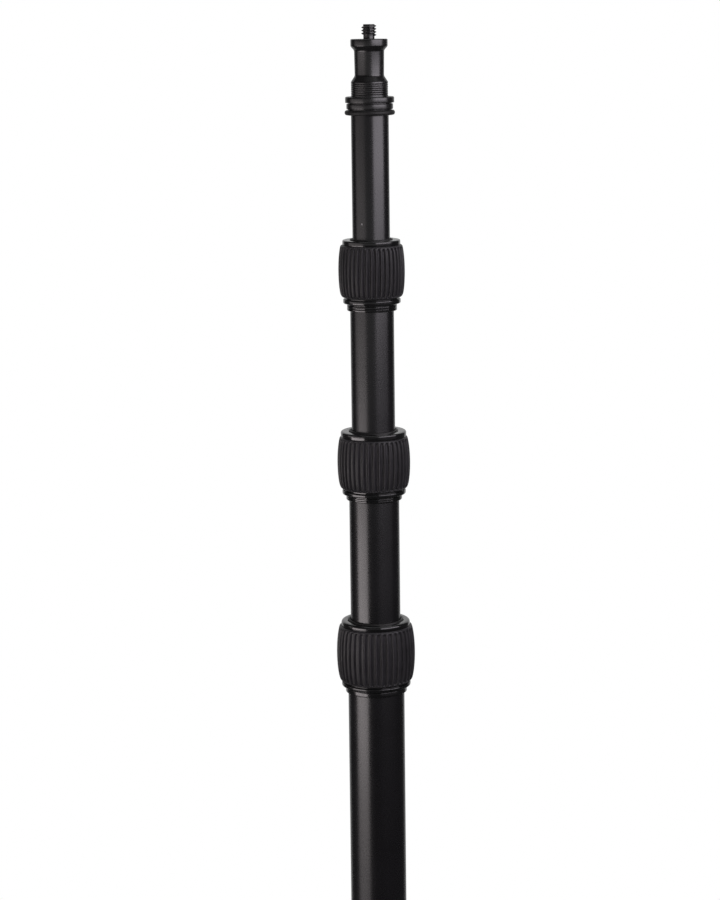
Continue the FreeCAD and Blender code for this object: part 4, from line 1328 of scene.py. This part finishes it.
class STAND_OT_t_handle(bpy.types.Operator):
    """Make the T-handle: its screw, cross bar and rubber caps"""

    bl_idname = "stand.t_handle"
    bl_label = "T-handle"

    HEAD_LENGTH = 14 * MM
    HEAD_WAIST = 0.5 * MM
    HEAD_BAND = 2.2 * MM
    WAIST_START = 2.7 * MM
    HEAD_DISH = 0.8 * MM
    SCREW_RADIUS = 3.95 * MM
    THREAD_DEPTH = 0.65 * MM
    THREAD_ROOT = 0.15 * MM
    THREAD_START = 0.3 * MM
    THREAD_CLEAR = 2.6 * MM
    RUN_OUT = 2.0 * MM
    BAR_RADIUS = 3.2 * MM
    BAR_LENGTH = 78 * MM
    BAR_TILT = math.radians(25)
    CAP_RADIUS = 4.6 * MM
    CAP_LENGTH = 10.5 * MM
    CAP_END = 1.4 * MM
    CAP_GROOVE = 0.4 * MM
    CAP_GROOVE_EDGES = (1.6 * MM, 2.0 * MM, 2.6 * MM, 3.0 * MM)

    def execute(self, context):
        """Makes the three pieces."""
        hand_over(self.screw(), "t_handle", "bright_steel", "clamp_screw")
        hand_over(self.bar(), "t_handle", "bright_steel", "t_bar")
        hand_over(self.caps(), "t_handle", "soft_rubber", "t_bar_caps")
        return {"FINISHED"}

    def bar_line(self):
        """The cross bar's middle and its direction."""
        low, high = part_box("clamp_screw")
        middle = Vector((0, low.y + self.HEAD_LENGTH / 2, (low.z + high.z) / 2))
        return middle, Vector((math.sin(self.BAR_TILT), 0, math.cos(self.BAR_TILT)))

    def screw(self):
        """The screw and its grooved head, with a real thread."""
        low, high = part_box("clamp_screw")
        length = high.y - low.y
        head_r = half_height("clamp_screw")
        neck = length - self.HEAD_LENGTH
        core = self.SCREW_RADIUS - self.THREAD_DEPTH
        root = core - self.THREAD_ROOT
        waist_r = head_r - self.HEAD_WAIST
        body = turn_on_lathe("handle_screw", [
            (0, 0), (core, 0, 0.4 * MM), (core, neck - self.HEAD_BAND),
            (self.SCREW_RADIUS, neck - self.RUN_OUT, 0.2 * MM), (self.SCREW_RADIUS, neck),
            (head_r, neck, 1.1 * MM), (head_r, neck + self.HEAD_BAND, 0.3 * MM),
            (waist_r, neck + self.WAIST_START, 0.3 * MM), (waist_r, length - self.WAIST_START, 0.3 * MM),
            (head_r, length - self.HEAD_BAND, 0.3 * MM), (head_r, length, 1.1 * MM),
            (head_r * 0.4, length, 0.3 * MM), (head_r * 0.3, length - self.HEAD_DISH, 0.3 * MM),
            (0, length - self.HEAD_DISH),
        ], 96)
        pitch = shape().clamp_pitch
        turns = int((neck - self.THREAD_CLEAR) / pitch) - 1
        ridge = helix_ridge("handle_thread", [
            (root, 0.05 * pitch), (self.SCREW_RADIUS, 0.44 * pitch),
            (self.SCREW_RADIUS, 0.56 * pitch), (root, 0.95 * pitch),
        ], pitch, turns, self.THREAD_START)
        return lay_along(join(body, ridge), (0, high.y, (low.z + high.z) / 2), (0, -1, 0))

    def bar(self):
        """The plain cross bar."""
        middle, direction = self.bar_line()
        bar = turn_on_lathe("cross_bar", [
            (0, 0), (self.BAR_RADIUS, 0, 0.5 * MM),
            (self.BAR_RADIUS, self.BAR_LENGTH, 0.5 * MM), (0, self.BAR_LENGTH),
        ], 64)
        return lay_along(bar, middle - direction * self.BAR_LENGTH / 2, direction)

    def caps(self):
        """A rubber cap on each end of the bar."""
        middle, direction = self.bar_line()
        groove_r = self.CAP_RADIUS - self.CAP_GROOVE
        end = self.CAP_LENGTH + self.CAP_END
        edges = self.CAP_GROOVE_EDGES
        caps = []
        for name, way in (("low", -1), ("high", 1)):
            cap = turn_on_lathe(f"bar_cap_{name}", [
                (self.BAR_RADIUS, 0), (self.CAP_RADIUS, 0, 0.7 * MM),
                (self.CAP_RADIUS, edges[0], 0.2 * MM), (groove_r, edges[1], 0.2 * MM),
                (groove_r, edges[2], 0.2 * MM), (self.CAP_RADIUS, edges[3], 0.2 * MM),
                (self.CAP_RADIUS, end, 2.2 * MM), (0, end),
                (0, self.CAP_LENGTH), (self.BAR_RADIUS, self.CAP_LENGTH),
            ], 64)
            start = middle + direction * way * (self.BAR_LENGTH / 2 - self.CAP_LENGTH)
            caps.append(lay_along(cap, start, direction * way))
        return named(join(*caps), "handle_caps")


class STAND_OT_plain_parts(bpy.types.Operator):
    """Give the CAD pieces that stay as they are their finishes"""

    bl_idname = "stand.plain_parts"
    bl_label = "Plain parts"

    def execute(self, context):
        """Swaps the material of each CAD node that still shows."""
        for row in frame["record"]["subparts"]:
            node = frame["nodes"][row["node"]]
            if not node.hide_render:
                node.data.materials.clear()
                node.data.materials.append(finish_for(row["material_slot"]))
        return {"FINISHED"}


class STAND_OT_stage(bpy.types.Operator):
    """Set up the camera, the lights and the pale floor"""

    bl_idname = "stand.stage"
    bl_label = "Studio"

    # Name, degrees from the camera's side with left negative, heights in metres, radiance and tint
    SOFTBOXES = (
        ("left_foot", (-34, -84), (0.0, 0.37), 0.7, "warm"),
        ("left_main", (-34, -84), (0.37, 0.57), 3.9, "warm"),
        ("left_head", (-34, -100), (0.57, 0.91), 0.66, "warm"),
        ("right_high", (18, 86), (0.79, 1.35), 2.7, "cool"),
        ("right_low", (18, 86), (0.45, 0.79), 0.1, "cool"),
        ("front_fill", (-34, 18), (0.66, 0.92), 0.24, "white"),
        ("backdrop", (140, 220), (0.0, 1.5), 0.5, "white"),
    )
    TINTS = {"warm": (1.0, 0.925, 0.935), "cool": (0.98, 0.92, 1.0), "white": (1.0, 1.0, 1.0)}
    TOP_PLACE = (0.2, 0.2, 2.2)
    TOP_SIDE = 1.4
    TOP_RADIANCE = 0.8
    FLOOR_COLOUR = (0.86, 0.86, 0.86, 1)
    FLOOR_GLOW = 0.3

    def execute(self, context):
        """Sets up the whole studio."""
        stage = context.scene.stand_stage
        self.camera(context, stage)
        self.floor(stage)
        for name, azimuths, heights, radiance, tint in self.SOFTBOXES:
            self.softbox(stage, name, azimuths, heights, radiance, self.TINTS[tint])
        clear_selection()
        bpy.ops.object.light_add(type="AREA", location=self.TOP_PLACE)
        self.set_light("top_fill", self.TOP_SIDE, self.TOP_SIDE, self.TOP_RADIANCE, self.TINTS["white"])
        self.surroundings(context, stage)
        return {"FINISHED"}

    def camera(self, context, stage):
        """A camera a little over the stud's tip, looking down at the locks."""
        clear_selection()
        bpy.ops.object.camera_add(
            location=(-stage.side, -stage.distance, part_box("stud")[1].z + stage.above_tip))
        camera = context.object
        look = Matrix.Rotation(math.pi / 2 - stage.tilt, 4, "X") @ Matrix.Rotation(-stage.roll, 4, "Z")
        camera.rotation_euler = look.to_euler()
        camera.data.lens = stage.lens
        camera.data.sensor_width = 36
        context.scene.camera = camera

    def floor(self, stage):
        """A pale round floor that glows a little, so that it stays pale under the dim lights."""
        clear_selection()
        bpy.ops.mesh.primitive_circle_add(
            vertices=128, radius=stage.floor_radius, fill_type="NGON", location=(0, 0, 0))
        floor = named(bpy.context.object, "pale_floor")
        recipe = Recipe("pale_floor")
        recipe.set(
            Base_Color=self.FLOOR_COLOUR, Roughness=0.7,
            Emission_Color=WHITE, Emission_Strength=self.FLOOR_GLOW)
        floor.data.materials.append(recipe.material)
        floor.visible_glossy = False

    def softbox(self, stage, name, azimuths, heights, radiance, colour):
        """A flat light across two directions, as far out as the panel says, facing the column."""
        edges = [
            Vector((math.sin(turn), -math.cos(turn), 0)) * stage.light_distance
            for turn in map(math.radians, azimuths)
        ]
        centre = (edges[0] + edges[1]) / 2
        aim = (-centre).to_track_quat("-Z", "Y").to_euler()
        centre.z = sum(heights) / 2
        clear_selection()
        bpy.ops.object.light_add(type="AREA", location=centre, rotation=aim)
        self.set_light(name, (edges[0] - edges[1]).length, heights[1] - heights[0], radiance, colour)

    def set_light(self, name, width, height, radiance, colour):
        """Sizes the active light, hides it from the camera and gives it its brightness."""
        light = bpy.context.object
        light.name = name
        light.visible_camera = False
        light.data.shape = "RECTANGLE"
        light.data.size = width
        light.data.size_y = height
        light.data.color = colour
        light.data.energy = radiance * math.pi * width * height

    def surroundings(self, context, stage):
        """A world that is white to the camera and dim to everything else."""
        world = context.scene.world or bpy.data.worlds.new("Studio")
        context.scene.world = world
        world.use_nodes = True
        nodes = world.node_tree.nodes
        links = world.node_tree.links
        nodes.clear()
        paths = nodes.new("ShaderNodeLightPath")
        choice = nodes.new("ShaderNodeMixShader")
        output = nodes.new("ShaderNodeOutputWorld")
        links.new(paths.outputs["Is Camera Ray"], choice.inputs["Fac"])
        for socket, strength in ((choice.inputs[1], stage.surroundings), (choice.inputs[2], 1.0)):
            background = nodes.new("ShaderNodeBackground")
            background.inputs["Color"].default_value = WHITE
            background.inputs["Strength"].default_value = strength
            links.new(background.outputs["Background"], socket)
        links.new(choice.outputs["Shader"], output.inputs["Surface"])
        context.scene.view_settings.view_transform = "Standard"


SETTINGS = {"stand_shape": StandShape, "stand_finish": StandFinish, "stand_stage": StandStage}
OPERATORS = (
    STAND_OT_tubes,
    STAND_OT_stud,
    STAND_OT_stop_collar,
    STAND_OT_twist_locks,
    STAND_OT_base_stack,
    STAND_OT_leg_collars,
    STAND_OT_legs,
    STAND_OT_feet,
    STAND_OT_clamp,
    STAND_OT_t_handle,
    STAND_OT_plain_parts,
    STAND_OT_stage,
)


class STAND_PT_panel(bpy.types.Panel):
    """The stand's pieces and settings"""

    bl_idname = "STAND_PT_panel"
    bl_label = "Studio stand"
    bl_space_type = "VIEW_3D"
    bl_region_type = "UI"
    bl_category = "Stand"

    def draw(self, context):
        """Lists the settings and a button for each operator."""
        for name in SETTINGS:
            box = self.layout.box()
            settings = getattr(context.scene, name)
            for setting in settings.__annotations__:
                box.prop(settings, setting)
        for operator in OPERATORS:
            self.layout.operator(operator.bl_idname)


def register():
    """Adds the settings, the operators and the panel."""
    for name, group in SETTINGS.items():
        bpy.utils.register_class(group)
        setattr(bpy.types.Scene, name, bpy.props.PointerProperty(type=group))
    for item in (*OPERATORS, STAND_PT_panel):
        bpy.utils.register_class(item)


def unregister():
    """Takes them away again."""
    for item in reversed((*OPERATORS, STAND_PT_panel)):
        bpy.utils.unregister_class(item)
    for name, group in reversed(SETTINGS.items()):
        delattr(bpy.types.Scene, name)
        bpy.utils.unregister_class(group)


def main():
    """Makes the whole stand."""
    register()
    for operator in OPERATORS:
        getattr(bpy.ops.stand, operator.bl_idname.split(".")[1])()
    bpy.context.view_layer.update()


if __name__ == "__main__":
    main()
